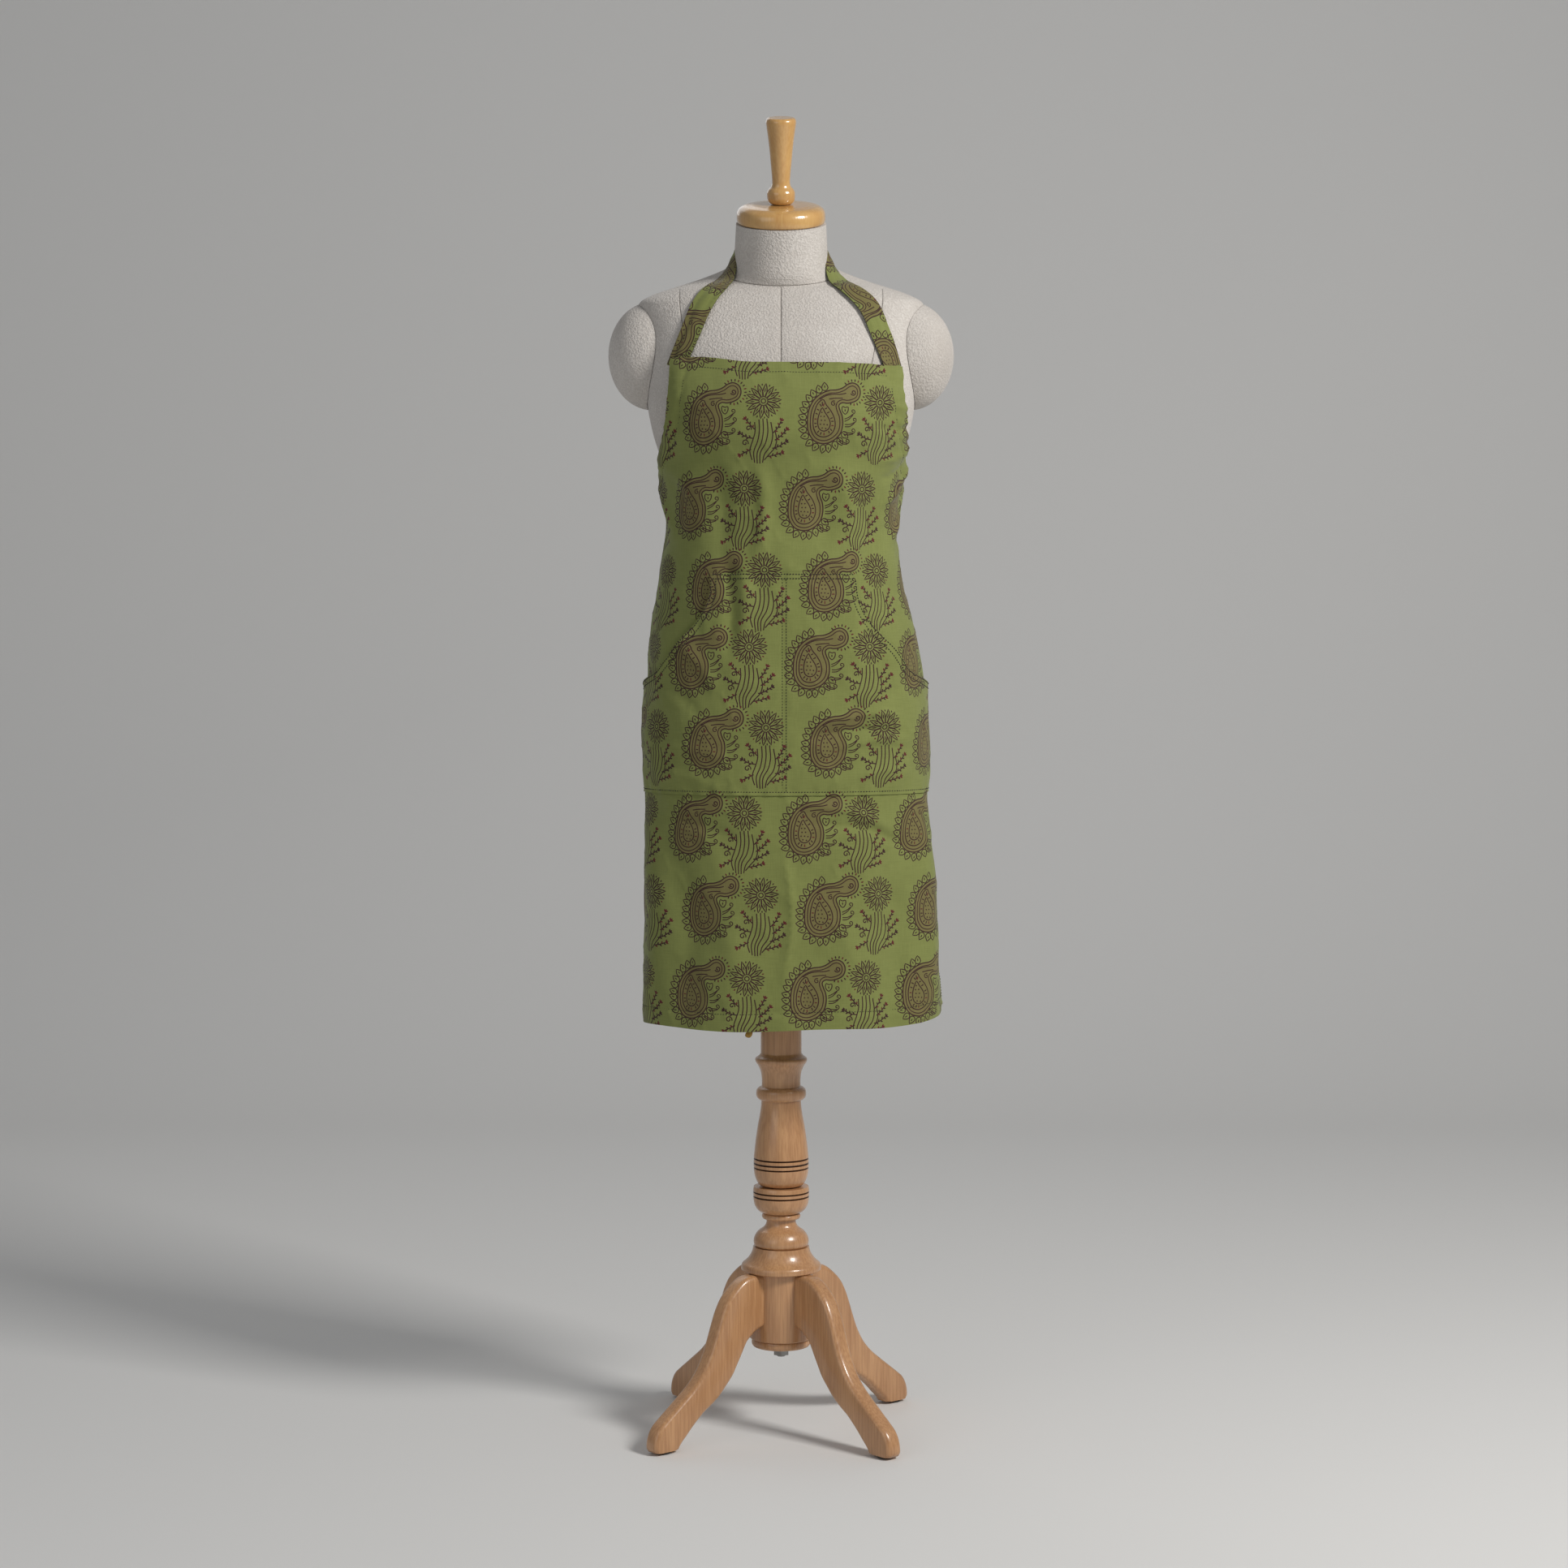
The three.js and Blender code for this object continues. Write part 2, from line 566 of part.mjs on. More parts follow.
// ---------------------------------------------------------------- neck
const neck = new THREE.Group();
neck.position.set(0, NECK_Y, FORM_BOTTOM + NECK_HEIGHT);
neck.rotation.x = degrees(NECK_TILT);
parts.add(neck);
const STUD_BORE = STUD_RADIUS + GAP;
const HANDLE_BOTTOM = CAP_THICK + 2 * GAP;
const HANDLE_TOP = HANDLE_BOTTOM + HANDLE_LENGTH;
const STUD_TOP = HANDLE_BOTTOM + STUD_IN_HANDLE;
const PLUG_RADIUS = NECK_RADIUS * FORM_GIRTH - FORM_WALL - 1.2;
add('neck_plug', ring(STUD_BORE, PLUG_RADIUS, -PLUG_THICK, -GAP), PALE_WOOD, 0.6, 0, neck);
add('neck_cap', turned([
  [STUD_BORE, GAP], [CAP_RADIUS - 2.5, GAP], [CAP_RADIUS - 0.5, 2.5], [CAP_RADIUS, 6],
  [CAP_RADIUS - 0.3, 12], [CAP_RADIUS - 2.5, 16.5], [CAP_RADIUS - 8, 20], [34, CAP_THICK - 0.6],
  [STUD_BORE, CAP_THICK + GAP],
]), PALE_WOOD, 0.35, 0, neck);
add('neck_handle', turned([
  [0, STUD_TOP + GAP], [STUD_BORE, STUD_TOP + GAP], [STUD_BORE, HANDLE_BOTTOM],
  [12, HANDLE_BOTTOM], [16.15, HANDLE_BOTTOM + 6], [16.15, HANDLE_BOTTOM + 14],
  [11.2, HANDLE_BOTTOM + 21], [10.4, HANDLE_BOTTOM + 24], [12.6, HANDLE_BOTTOM + 50],
  [16.7, HANDLE_BOTTOM + 88], [17.35, HANDLE_TOP - 5], [15, HANDLE_TOP - 0.5], [0, HANDLE_TOP],
]), PALE_WOOD, 0.35, 0, neck);
add('handle_stud', rod(STUD_RADIUS, 1 - PLUG_THICK, STUD_TOP), STEEL, 0.4, 1, neck);

// ---------------------------------------------------------------- apron
const SECTION_STEPS = 120;

/** The apron's outer outline at a height: points and their distances along the cloth. */
function apronSection(height) {
  const [, left, right, front, back] = rowAt(APRON_EASE, height);
  const [, , , width, ahead, behind] = rowAt(FORM_RINGS, Math.max(height, 0));
  const grow = FORM_GIRTH;
  const points = [];
  for (let i = -SECTION_STEPS; i <= SECTION_STEPS; i += 1) {
    const angle = (i * Math.PI) / SECTION_STEPS;
    points.push(outlinePoint(
      angle, width * grow + left, width * grow + right,
      ahead * grow + front, behind * grow + back, APRON_SQUARENESS,
    ));
  }
  const along = [0];
  for (let i = 1; i < points.length; i += 1) along.push(along[i - 1] + points[i].distanceTo(points[i - 1]));
  const middle = along[SECTION_STEPS];
  return { points, along: along.map((distance) => distance - middle) };
}

const sections = new Map();

/** The place of a point of the cloth: distance along it from the centre line, height, offset. */
function apronPoint(distance, height, offset = 0) {
  if (!sections.has(height)) sections.set(height, apronSection(height));
  const { points, along } = sections.get(height);
  let i = 1;
  while (i < along.length - 1 && along[i] < distance) i += 1;
  const share = (distance - along[i - 1]) / (along[i] - along[i - 1]);
  const at = points[i - 1].clone().lerp(points[i], share);
  const forward = points[Math.min(i + 1, points.length - 1)].clone().sub(points[Math.max(i - 2, 0)]);
  forward.normalize();
  return new THREE.Vector3(
    at.x + forward.y * offset, at.y - forward.x * offset, FORM_BOTTOM + height,
  );
}

/** A closed sheet from a grid of [distance, height] places, between two offsets. */
function sheet(grid, innerOffset, outerOffset) {
  const rings = grid.map((row) => {
    const outer = row.map(([distance, height, lift = 0]) => apronPoint(distance, height, outerOffset + lift));
    const inner = row.map(([distance, height, lift = 0]) => apronPoint(distance, height, innerOffset + lift));
    return [...outer, ...inner.reverse()];
  });
  return skin(rings, false);
}

/** Columns of a piece whose upper edge falls away to both sides: [distance, height of the edge]. */
function columnsOf(edges, middle) {
  const side = (column) => edges.map((row) => [row[column], row[0]]);
  return [...side(1).reverse(), ...middle.map((distance) => [distance, edges[0][0]]), ...side(2)];
}

const panelColumns = columnsOf(ARMHOLE, BIB_MIDDLE);
const bibShares = Array.from({ length: BIB_ROWS }, (_, i) => (i + 1) / BIB_ROWS);
const panelGrid = [
  ...SKIRT_HEIGHTS.map((height) => panelColumns.map(([distance]) => [distance, height])),
  ...bibShares.map((share) => panelColumns.map(([distance, top]) => {
    return [distance, SKIRT_TOP + (top - SKIRT_TOP) * share];
  })),
];
add('apron_panel', sheet(panelGrid, -CLOTH_THICK, 0), CLOTH, 0.9);

const pocketColumns = columnsOf(POCKET_EDGE, POCKET_MIDDLE);
const pocketGrid = Array.from({ length: POCKET_ROWS + 1 }, (_, i) => {
  return pocketColumns.map(([distance, top]) => {
    const share = i / POCKET_ROWS;
    const reach = pocketColumns[0][0];
    const lift = POCKET_LIFT * Math.abs(Math.sin((Math.PI * distance) / reach)) * Math.sin(Math.PI * share);
    return [distance, POCKET_BOTTOM + (top - POCKET_BOTTOM) * share, lift];
  });
});
add('pocket', sheet(pocketGrid, POCKET_CLEAR, POCKET_CLEAR + POCKET_THICK), CLOTH, 0.9);

/** A strip of cloth along a line of [distance, height], spreading to one side by a width. */
function strip(line, width, across = 2) {
  const path = line.map(([distance, height]) => new THREE.Vector2(distance, height));
  return path.map((point, i) => {
    const ahead = path[Math.min(i + 1, path.length - 1)].clone().sub(path[Math.max(i - 1, 0)]).normalize();
    const sideways = new THREE.Vector2(-ahead.y, ahead.x);
    return Array.from({ length: across + 1 }, (_, k) => {
      const place = point.clone().addScaledVector(sideways, (width * k) / across);
      return [place.x, place.y];
    });
  });
}

const CASING_OUTER = -CLOTH_THICK - CASING_CLEAR;
const CASING_INNER = CASING_OUTER - CASING_THICK;
const EDGE_INSET = 0.5;
for (const [side, column, sign] of [['left', 1, 1], ['right', 2, -1]]) {
  const curve = new THREE.SplineCurve(
    ARMHOLE.map((row) => new THREE.Vector2(row[column] + sign * EDGE_INSET, row[0] - EDGE_INSET)),
  );
  const line = curve.getPoints(14).map((point) => [point.x, point.y]);
  add(`casing_${side}`, sheet(strip(line, sign * CASING_WIDTH), CASING_INNER, CASING_OUTER), CLOTH, 0.9);
}

// ---------------------------------------------------------------- strap, ties and bow
/** A ribbon swept through frames of {at, out, across}, from lift to lift + thick along out. */
function ribbon(frames, width, thick, lift = 0) {
  const rings = frames.map(({ at, out, across, narrow = 1 }) => {
    const corner = (side, height) => at.clone()
      .addScaledVector(across, (side * width * narrow) / 2).addScaledVector(out, height);
    return [
      corner(-1, lift), corner(1, lift), corner(1, lift + thick), corner(-1, lift + thick),
    ];
  });
  return skin(rings, false);
}

// Neck strap on the form's skin: [ring number, angle in degrees]
const STRAP_ROUTE = [
  [11.2, -44.5], [12, -36], [13, -29.5], [14.2, -27.5], [15.4, -31], [16.4, -39], [17.4, -54],
  [18.4, -74], [19, -97], [19.3, -130], [19.4, -180], [19.3, -230], [19, -263], [18.4, -286],
  [17.4, -305.5], [16.4, -320], [15.4, -327.5], [14.2, -330], [13, -326.5], [12, -319], [11.25, -310.5],
];
const STRAP_STEPS = 36;
const STRAP_COLUMNS = 3;

/** The strap follows the form's skin across its width as well as along it. */
function strapGeometry() {
  const route = new THREE.CatmullRomCurve3(STRAP_ROUTE.map(([number, angle]) => {
    return new THREE.Vector3(number, degrees(angle), 0);
  }));
  const places = route.getPoints(STRAP_STEPS);
  const skinAt = (number, angle) => formPoint(Math.min(number, FORM_RINGS.length - 1.01), angle);
  const [stepUp, stepRound] = [0.02, 0.02];
  const slopes = (number, angle) => ({
    up: skinAt(number + stepUp, angle).sub(skinAt(number, angle)).divideScalar(stepUp),
    round: skinAt(number, angle + stepRound).sub(skinAt(number, angle)).divideScalar(stepRound),
  });
  const rings = places.map(({ x, y }, i) => {
    const next = places[Math.min(i + 1, places.length - 1)];
    const last = places[Math.max(i - 1, 0)];
    const ahead = skinAt(next.x, next.y).sub(skinAt(last.x, last.y)).normalize();
    const { up, round } = slopes(x, y);
    const across = round.clone().cross(up).normalize().cross(ahead).normalize();
    const [inner, outer] = [[], []];
    for (let k = 0; k <= STRAP_COLUMNS; k += 1) {
      const sideways = (k / STRAP_COLUMNS - 0.5) * STRAP_WIDTH;
      const [number, angle] = [
        x + (sideways * across.dot(up)) / up.lengthSq(),
        y + (sideways * across.dot(round)) / round.lengthSq(),
      ];
      const local = slopes(number, angle);
      const out = local.round.cross(local.up).normalize();
      inner.push(skinAt(number, angle).addScaledVector(out, STRAP_LIFT));
      outer.push(skinAt(number, angle).addScaledVector(out, STRAP_LIFT + STRAP_THICK));
    }
    return [...inner, ...outer.reverse()];
  });
  return skin(rings, false);
}
add('neck_strap', strapGeometry(), CLOTH, 0.85);

for (const [side, sign] of [['left', -1], ['right', 1]]) {
  const start = SKIRT_HALF_WIDTH + TIE_START;
  const { along } = apronSection(TIE_HEIGHT);
  const end = along[along.length - 1] - TIE_END;
  const grid = Array.from({ length: TIE_STEPS + 1 }, (_, i) => {
    const share = i / TIE_STEPS;
    const distance = start + (end - start) * share;
    const half = (TIE_WIDTH / 2) * (1 - 0.35 * share);
    const middle = TIE_HEIGHT - 12 + 12 * share;
    return [middle - half, middle, middle + half].map((height) => [sign * distance, height]);
  });
  add(`waist_tie_${side}`, sheet(grid, CASING_INNER, CASING_OUTER), CLOTH, 0.85);
}

const KNOT_Y = apronPoint(apronSection(TIE_HEIGHT).along.at(-1), TIE_HEIGHT).y
  + CASING_OUTER + GAP + KNOT_SIZE[1];
const KNOT_Z = FORM_BOTTOM + TIE_HEIGHT;
const knot = new THREE.SphereGeometry(1, 12, 8).scale(...KNOT_SIZE).translate(0, KNOT_Y, KNOT_Z);
add('bow_knot', knot, CLOTH, 0.85);

/** Frames of a ribbon through points, with its width turned towards a given direction. */
function framesThrough(points, widthDirection, steps, narrowAt = () => 1) {
  const curve = new THREE.CatmullRomCurve3(points);
  return Array.from({ length: steps + 1 }, (_, i) => {
    const share = i / steps;
    const ahead = curve.getTangentAt(share);
    const out = ahead.clone().cross(widthDirection).normalize();
    const across = out.clone().cross(ahead).normalize();
    return { at: curve.getPointAt(share), out, across, narrow: narrowAt(share) };
  });
}

const TAIL_LENGTHS = { left: 245, right: 215 };
const TAIL_CLEAR = 6; // from the form's back to the tails
const TAIL_NARROW = 0.6; // share of the width at the knot
const TAIL_SPREAD = 22; // how far the tails drift apart
const LOOP_NARROW = 0.62;
const KNOT_TUCK = 0.6; // how far the knot's round underside lets the tails rise
for (const [side, sign] of [['left', -1], ['right', 1]]) {
  const root = KNOT_SIZE[0] - 0.4;
  const loop = [
    [root, -4, 3], [40, -2, 0], [68, -2, -7], [82, 4, -10], [70, 11, -8], [40, 13, -1], [root, 4, 4],
  ].map(([x, y, z]) => new THREE.Vector3(sign * x, KNOT_Y + y, KNOT_Z + z));
  const pinched = (share) => LOOP_NARROW + (1 - LOOP_NARROW) * Math.sin(Math.PI * share);
  add(`bow_loop_${side}`, ribbon(
    framesThrough(loop, new THREE.Vector3(0, 0, 1), 16, pinched), TIE_WIDTH, STRAP_THICK, -STRAP_THICK / 2,
  ), CLOTH, 0.85);
  const start = (TIE_WIDTH * TAIL_NARROW) / 2 + GAP;
  const top = KNOT_Z - KNOT_SIZE[2] + KNOT_TUCK;
  const tail = [0.15, 0.35, 0.6, 0.8, 1].map((share) => {
    const height = top - TAIL_LENGTHS[side] * share;
    const [, , , , , behind] = rowAt(FORM_RINGS, height - FORM_BOTTOM);
    return new THREE.Vector3(
      sign * (start + TAIL_SPREAD * share), behind * FORM_GIRTH + TAIL_CLEAR + 3 * share, height,
    );
  });
  tail.unshift(new THREE.Vector3(sign * start, KNOT_Y - STRAP_THICK, top));
  const spreading = (share) => Math.min(1, TAIL_NARROW + 2 * share);
  add(`bow_tail_${side}`, ribbon(
    framesThrough(tail, new THREE.Vector3(1, 0, 0), 10, spreading), TIE_WIDTH, STRAP_THICK,
  ), CLOTH, 0.85);
}

export default parts;
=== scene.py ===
import logging
import math
from dataclasses import dataclass, field
from enum import Enum, IntEnum
from typing import Callable, Iterable, Sequence

import bpy
import numpy as np
from mathutils import Matrix, Vector
from mathutils.geometry import delaunay_2d_cdt


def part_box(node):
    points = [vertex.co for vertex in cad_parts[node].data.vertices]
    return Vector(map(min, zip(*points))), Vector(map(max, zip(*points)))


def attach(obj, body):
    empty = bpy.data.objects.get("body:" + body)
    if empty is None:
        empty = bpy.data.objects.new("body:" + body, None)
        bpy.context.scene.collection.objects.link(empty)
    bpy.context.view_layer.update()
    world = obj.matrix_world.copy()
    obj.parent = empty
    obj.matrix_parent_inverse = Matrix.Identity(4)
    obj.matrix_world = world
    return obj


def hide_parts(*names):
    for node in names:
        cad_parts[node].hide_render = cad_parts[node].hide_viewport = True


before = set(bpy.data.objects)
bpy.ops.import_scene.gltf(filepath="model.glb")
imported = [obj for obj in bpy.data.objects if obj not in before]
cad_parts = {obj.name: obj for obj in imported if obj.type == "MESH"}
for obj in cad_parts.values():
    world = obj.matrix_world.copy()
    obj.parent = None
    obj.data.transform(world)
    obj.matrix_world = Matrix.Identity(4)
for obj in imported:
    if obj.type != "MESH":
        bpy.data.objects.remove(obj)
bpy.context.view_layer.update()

# An apron tied on a dress form, on a turned wooden stand. Shapes are worked out in millimetres,
# +Z up, origin on the floor under the column, front facing -Y, and stored in metres.

LOG = logging.getLogger("apron")
MM = 0.001
FORM_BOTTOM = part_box("torso_shell")[0][2] / MM
Point = Sequence[float]
Array = np.ndarray


class Body(str, Enum):
    """The moving bodies of the assembly."""

    STAND = "stand"
    POLE = "pole"
    FORM = "form"
    SCREW = "wing_screw"


class Ink(IntEnum):
    """Material places on a printed cloth."""

    GROUND = 0
    LINE = 1
    TONE = 2
    RED = 3


# ---------------------------------------------------------------- number helpers
def smooth_rows(table: Sequence[Point], keys: Array) -> Array:
    """Reads a table smoothly between its rows.

    Args:
        table: rows that start with their key.
        keys: where to read, clamped to the table's ends.

    Returns:
        One row of values per key.
    """
    rows = np.array(sorted(table, key=lambda row: row[0]), float)
    x, y = rows[:, 0], rows[:, 1:]
    keys = np.clip(np.ravel(keys), x[0], x[-1])
    low = np.clip(np.searchsorted(x, keys) - 1, 0, len(x) - 2)
    slope = np.gradient(y, x, axis=0)
    span = (x[low + 1] - x[low])[:, None]
    t = (keys - x[low])[:, None] / span
    start = (2 * t**3 - 3 * t**2 + 1) * y[low] + (t**3 - 2 * t**2 + t) * span * slope[low]
    end = (3 * t**2 - 2 * t**3) * y[low + 1] + (t**3 - t**2) * span * slope[low + 1]
    return start + end


def curve_through(points: Sequence[Point], step: float, closed: bool = False) -> Array:
    """Draws a smooth line through points.

    Args:
        points: places that the line passes through.
        step: spacing of the returned points.
        closed: whether the line returns to its start.

    Returns:
        Points along the line; a closed line doesn't repeat its first point.
    """
    path = np.array(points, float)
    path = np.vstack([path[-2:], path, path[:3]]) if closed else path
    gaps = np.maximum(np.linalg.norm(np.diff(path, axis=0), axis=1), 1e-6)
    keys = np.concatenate([[0.0], np.cumsum(gaps)])
    first, last = (keys[2], keys[-3]) if closed else (0.0, keys[-1])
    count = max(2, int(round((last - first) / step)))
    at = np.linspace(first, last, count + 1)
    line = smooth_rows(np.column_stack([keys, path]), at)
    return line[:-1] if closed else line


def ease(value: Array, start: float, end: float) -> Array:
    """Rises smoothly from 0 at start to 1 at end."""
    t = np.clip((np.asarray(value, float) - start) / (end - start), 0, 1)
    return t * t * (3 - 2 * t)


class Unevenness:
    """A repeatable soft random field over two coordinates."""

    def __init__(self, seed: int, spacing: float, reach: float = 600.0) -> None:
        """Draws the random lattice."""
        self.spacing = spacing
        self.reach = reach
        count = int(2 * reach / spacing) + 3
        self.lattice = np.random.default_rng(seed).uniform(-1, 1, (count, count))

    def __call__(self, a: Array, b: Array) -> Array:
        """Values between -1 and 1 at the places (a, b)."""
        x = np.clip((a + self.reach) / self.spacing, 0, self.lattice.shape[0] - 1.01)
        y = np.clip((b + self.reach) / self.spacing, 0, self.lattice.shape[0] - 1.01)
        i, j = x.astype(int), y.astype(int)
        s, t = x - i, y - j
        s, t = s * s * (3 - 2 * s), t * t * (3 - 2 * t)
        low = self.lattice[i, j] * (1 - s) + self.lattice[i + 1, j] * s
        high = self.lattice[i, j + 1] * (1 - s) + self.lattice[i + 1, j + 1] * s
        return low * (1 - t) + high * t


# ---------------------------------------------------------------- shader node helpers
def colour_of(red: int, green: int, blue: int) -> tuple[float, float, float, float]:
    """A screen colour from 0 to 255 as the renderer's linear one."""
    parts = [value / 255 for value in (red, green, blue)]
    linear = [p / 12.92 if p <= 0.04045 else ((p + 0.055) / 1.055) ** 2.4 for p in parts]
    return (linear[0], linear[1], linear[2], 1.0)


class Nodes:
    """Adds and links shader nodes in a tree."""

    def __init__(self, tree: bpy.types.NodeTree) -> None:
        """Keeps the tree."""
        self.tree = tree

    def add(self, kind: str, **values: object) -> bpy.types.Node:
        """Adds a node.

        Args:
            kind: node type, such as ShaderNodeMath.
            values: inputs by name with _ for spaces, or properties of the node. A socket as a
                value is linked.

        Returns:
            The node.
        """
        node = self.tree.nodes.new(kind)
        for name, value in values.items():
            if hasattr(node, name) and name not in ("color",):
                setattr(node, name, value)
        for name, value in values.items():
            key = int(name[2:]) if name.startswith("in") and name[2:].isdigit() else name.replace("_", " ")
            if isinstance(key, str) and (hasattr(node, name) or key not in node.inputs):
                continue
            if isinstance(value, bpy.types.NodeSocket):
                self.tree.links.new(value, node.inputs[key])
            else:
                node.inputs[key].default_value = value
        return node

    def ramp(self, factor: bpy.types.NodeSocket, stops: Sequence[tuple[float, float]]) -> bpy.types.NodeSocket:
        """Maps a value through grey stops of (place, value) and returns the result."""
        node = self.tree.nodes.new("ShaderNodeValToRGB")
        self.tree.links.new(factor, node.inputs[0])
        band = node.color_ramp
        while len(band.elements) < len(stops):
            band.elements.new(0.5)
        for element, (place, value) in zip(band.elements, stops):
            element.position = place
            element.color = (value, value, value, 1)
        return node.outputs[0]

    def mix(self, factor: object, first: object, second: object) -> bpy.types.NodeSocket:
        """Mixes two colours or colour sockets by a factor or a socket."""
        node = self.tree.nodes.new("ShaderNodeMix")
        node.data_type = "RGBA"
        for key, value in ((0, factor), (6, first), (7, second)):
            if isinstance(value, bpy.types.NodeSocket):
                self.tree.links.new(value, node.inputs[key])
            else:
                node.inputs[key].default_value = value
        return node.outputs[2]


def effect_group(
    name: str, inputs: Sequence[tuple[str, str, object]], outputs: Sequence[tuple[str, str]]
) -> tuple[bpy.types.NodeTree, Nodes, bpy.types.Node, bpy.types.Node]:
    """Starts a shared effect.

    Args:
        name: name of the group.
        inputs: (name, socket type, value) of each input.
        outputs: (name, socket type) of each output.

    Returns:
        The group, its node helper, its input node and its output node.
    """
    tree = bpy.data.node_groups.new(name, "ShaderNodeTree")
    for label, kind, value in inputs:
        socket = tree.interface.new_socket(label, in_out="INPUT", socket_type=kind)
        if value is not None:
            socket.default_value = value
    for label, kind in outputs:
        tree.interface.new_socket(label, in_out="OUTPUT", socket_type=kind)
    return tree, Nodes(tree), tree.nodes.new("NodeGroupInput"), tree.nodes.new("NodeGroupOutput")


FLOAT, COLOUR, VECTOR = "NodeSocketFloat", "NodeSocketColor", "NodeSocketVector"


def grain_effect() -> bpy.types.NodeTree:
    """Wood grain: long fibres, soft growth bands and fine pores."""
    tree, n, start, end = effect_group(
        "wood_grain",
        [("Vector", VECTOR, None), ("Pale", COLOUR, None), ("Deep", COLOUR, None),
         ("Bands", FLOAT, 14.0), ("Fibre", FLOAT, 0.5)],
        [("Colour", COLOUR), ("Height", FLOAT)],
    )
    long_way = n.add("ShaderNodeVectorMath", operation="MULTIPLY", in0=start.outputs["Vector"], in1=(1, 1, 0.12))
    bands = n.add("ShaderNodeTexNoise", Vector=long_way.outputs[0], Scale=start.outputs["Bands"],
                  Detail=3.0, Distortion=0.9)
    fibre_way = n.add("ShaderNodeVectorMath", operation="MULTIPLY", in0=start.outputs["Vector"], in1=(1, 1, 0.05))
    fibres = n.add("ShaderNodeTexNoise", Vector=fibre_way.outputs[0], Scale=420.0, Detail=4.0)
    broad = n.ramp(bands.outputs[0], [(0.32, 0.0), (0.52, 0.45), (0.58, 0.3), (0.72, 1.0)])
    fine = n.ramp(fibres.outputs[0], [(0.38, 1.0), (0.62, 0.0)])
    share = n.add("ShaderNodeMath", operation="MULTIPLY", in0=fine, in1=start.outputs["Fibre"])
    total = n.add("ShaderNodeMath", operation="ADD", use_clamp=True, in0=broad, in1=share.outputs[0])
    scaled = n.add("ShaderNodeMath", operation="MULTIPLY", in0=total.outputs[0], in1=0.75)
    tree.links.new(n.mix(scaled.outputs[0], start.outputs["Pale"], start.outputs["Deep"]), end.inputs["Colour"])
    tree.links.new(fine, end.inputs["Height"])
    return tree


def weave_effect() -> bpy.types.NodeTree:
    """Plain weave: uneven threads both ways, as a height and a fleck mask."""
    tree, n, start, end = effect_group(
        "plain_weave",
        [("Vector", VECTOR, None), ("Threads", FLOAT, 900.0)],
        [("Height", FLOAT), ("Fleck", FLOAT)],
    )
    heights = []
    for way in ((1, 0.06, 1), (0.06, 1, 1)):
        along = n.add("ShaderNodeVectorMath", operation="MULTIPLY", in0=start.outputs["Vector"], in1=way)
        thread = n.add("ShaderNodeTexNoise", Vector=along.outputs[0], Scale=start.outputs["Threads"], Detail=1.0)
        heights.append(thread.outputs[0])
    both = n.add("ShaderNodeMath", operation="ADD", in0=heights[0], in1=heights[1])
    half = n.add("ShaderNodeMath", operation="MULTIPLY", in0=both.outputs[0], in1=0.5)
    tree.links.new(half.outputs[0], end.inputs["Height"])
    tree.links.new(n.ramp(half.outputs[0], [(0.42, 0.0), (0.6, 1.0)]), end.inputs["Fleck"])
    return tree


def mottle_effect() -> bpy.types.NodeTree:
    """Uneven tone from handling and dust: a broad mask and a fine one."""
    tree, n, start, end = effect_group(
        "mottle",
        [("Vector", VECTOR, None), ("Size", FLOAT, 9.0), ("Grit", FLOAT, 260.0)],
        [("Broad", FLOAT), ("Fine", FLOAT)],
    )
    broad = n.add("ShaderNodeTexNoise", Vector=start.outputs["Vector"], Scale=start.outputs["Size"], Detail=5.0)
    fine = n.add("ShaderNodeTexNoise", Vector=start.outputs["Vector"], Scale=start.outputs["Grit"], Detail=3.0)
    tree.links.new(n.ramp(broad.outputs[0], [(0.35, 0.0), (0.68, 1.0)]), end.inputs["Broad"])
    tree.links.new(n.ramp(fine.outputs[0], [(0.36, 0.0), (0.64, 1.0)]), end.inputs["Fine"])
    return tree


@dataclass
class Effects:
    """The shared effects, each built once."""

    grain: bpy.types.NodeTree = field(default_factory=grain_effect)
    weave: bpy.types.NodeTree = field(default_factory=weave_effect)
    mottle: bpy.types.NodeTree = field(default_factory=mottle_effect)


def blank_material(name: str) -> tuple[bpy.types.Material, Nodes, bpy.types.Node]:
    """A new material with its node helper and its Principled shader."""
    material = bpy.data.materials.new(name)
    material.use_nodes = True
    return material, Nodes(material.node_tree), material.node_tree.nodes["Principled BSDF"]


@dataclass(frozen=True)
class WoodFinish:
    """Lacquered wood with grain along its length."""

    name: str
    pale: tuple[int, int, int]
    deep: tuple[int, int, int]
    bands: float = 14.0
    fibre: float = 0.45
    roughness: float = 0.34
    lacquer: float = 0.6

    def build(self, effects: Effects) -> bpy.types.Material:
        """Makes the material."""
        material, n, shader = blank_material(self.name)
        place = n.add("ShaderNodeTexCoord")
        grain = n.add("ShaderNodeGroup", node_tree=effects.grain, Vector=place.outputs["Object"],
                      Pale=colour_of(*self.pale), Deep=colour_of(*self.deep),
                      Bands=self.bands, Fibre=self.fibre)
        mottle = n.add("ShaderNodeGroup", node_tree=effects.mottle, Vector=place.outputs["Object"], Size=16.0)
        shade = n.mix(n.ramp(mottle.outputs["Broad"], [(0.0, 0.0), (1.0, 0.22)]),
                      grain.outputs["Colour"], colour_of(*self.deep))
        material.node_tree.links.new(shade, shader.inputs["Base Color"])
        shader.inputs["Roughness"].default_value = self.roughness
        shader.inputs["Coat Weight"].default_value = self.lacquer
        shader.inputs["Coat Roughness"].default_value = 0.16
        bump = n.add("ShaderNodeBump", Strength=0.12, Distance=0.0006, Height=grain.outputs["Height"])
        material.node_tree.links.new(bump.outputs[0], shader.inputs["Normal"])
        return material


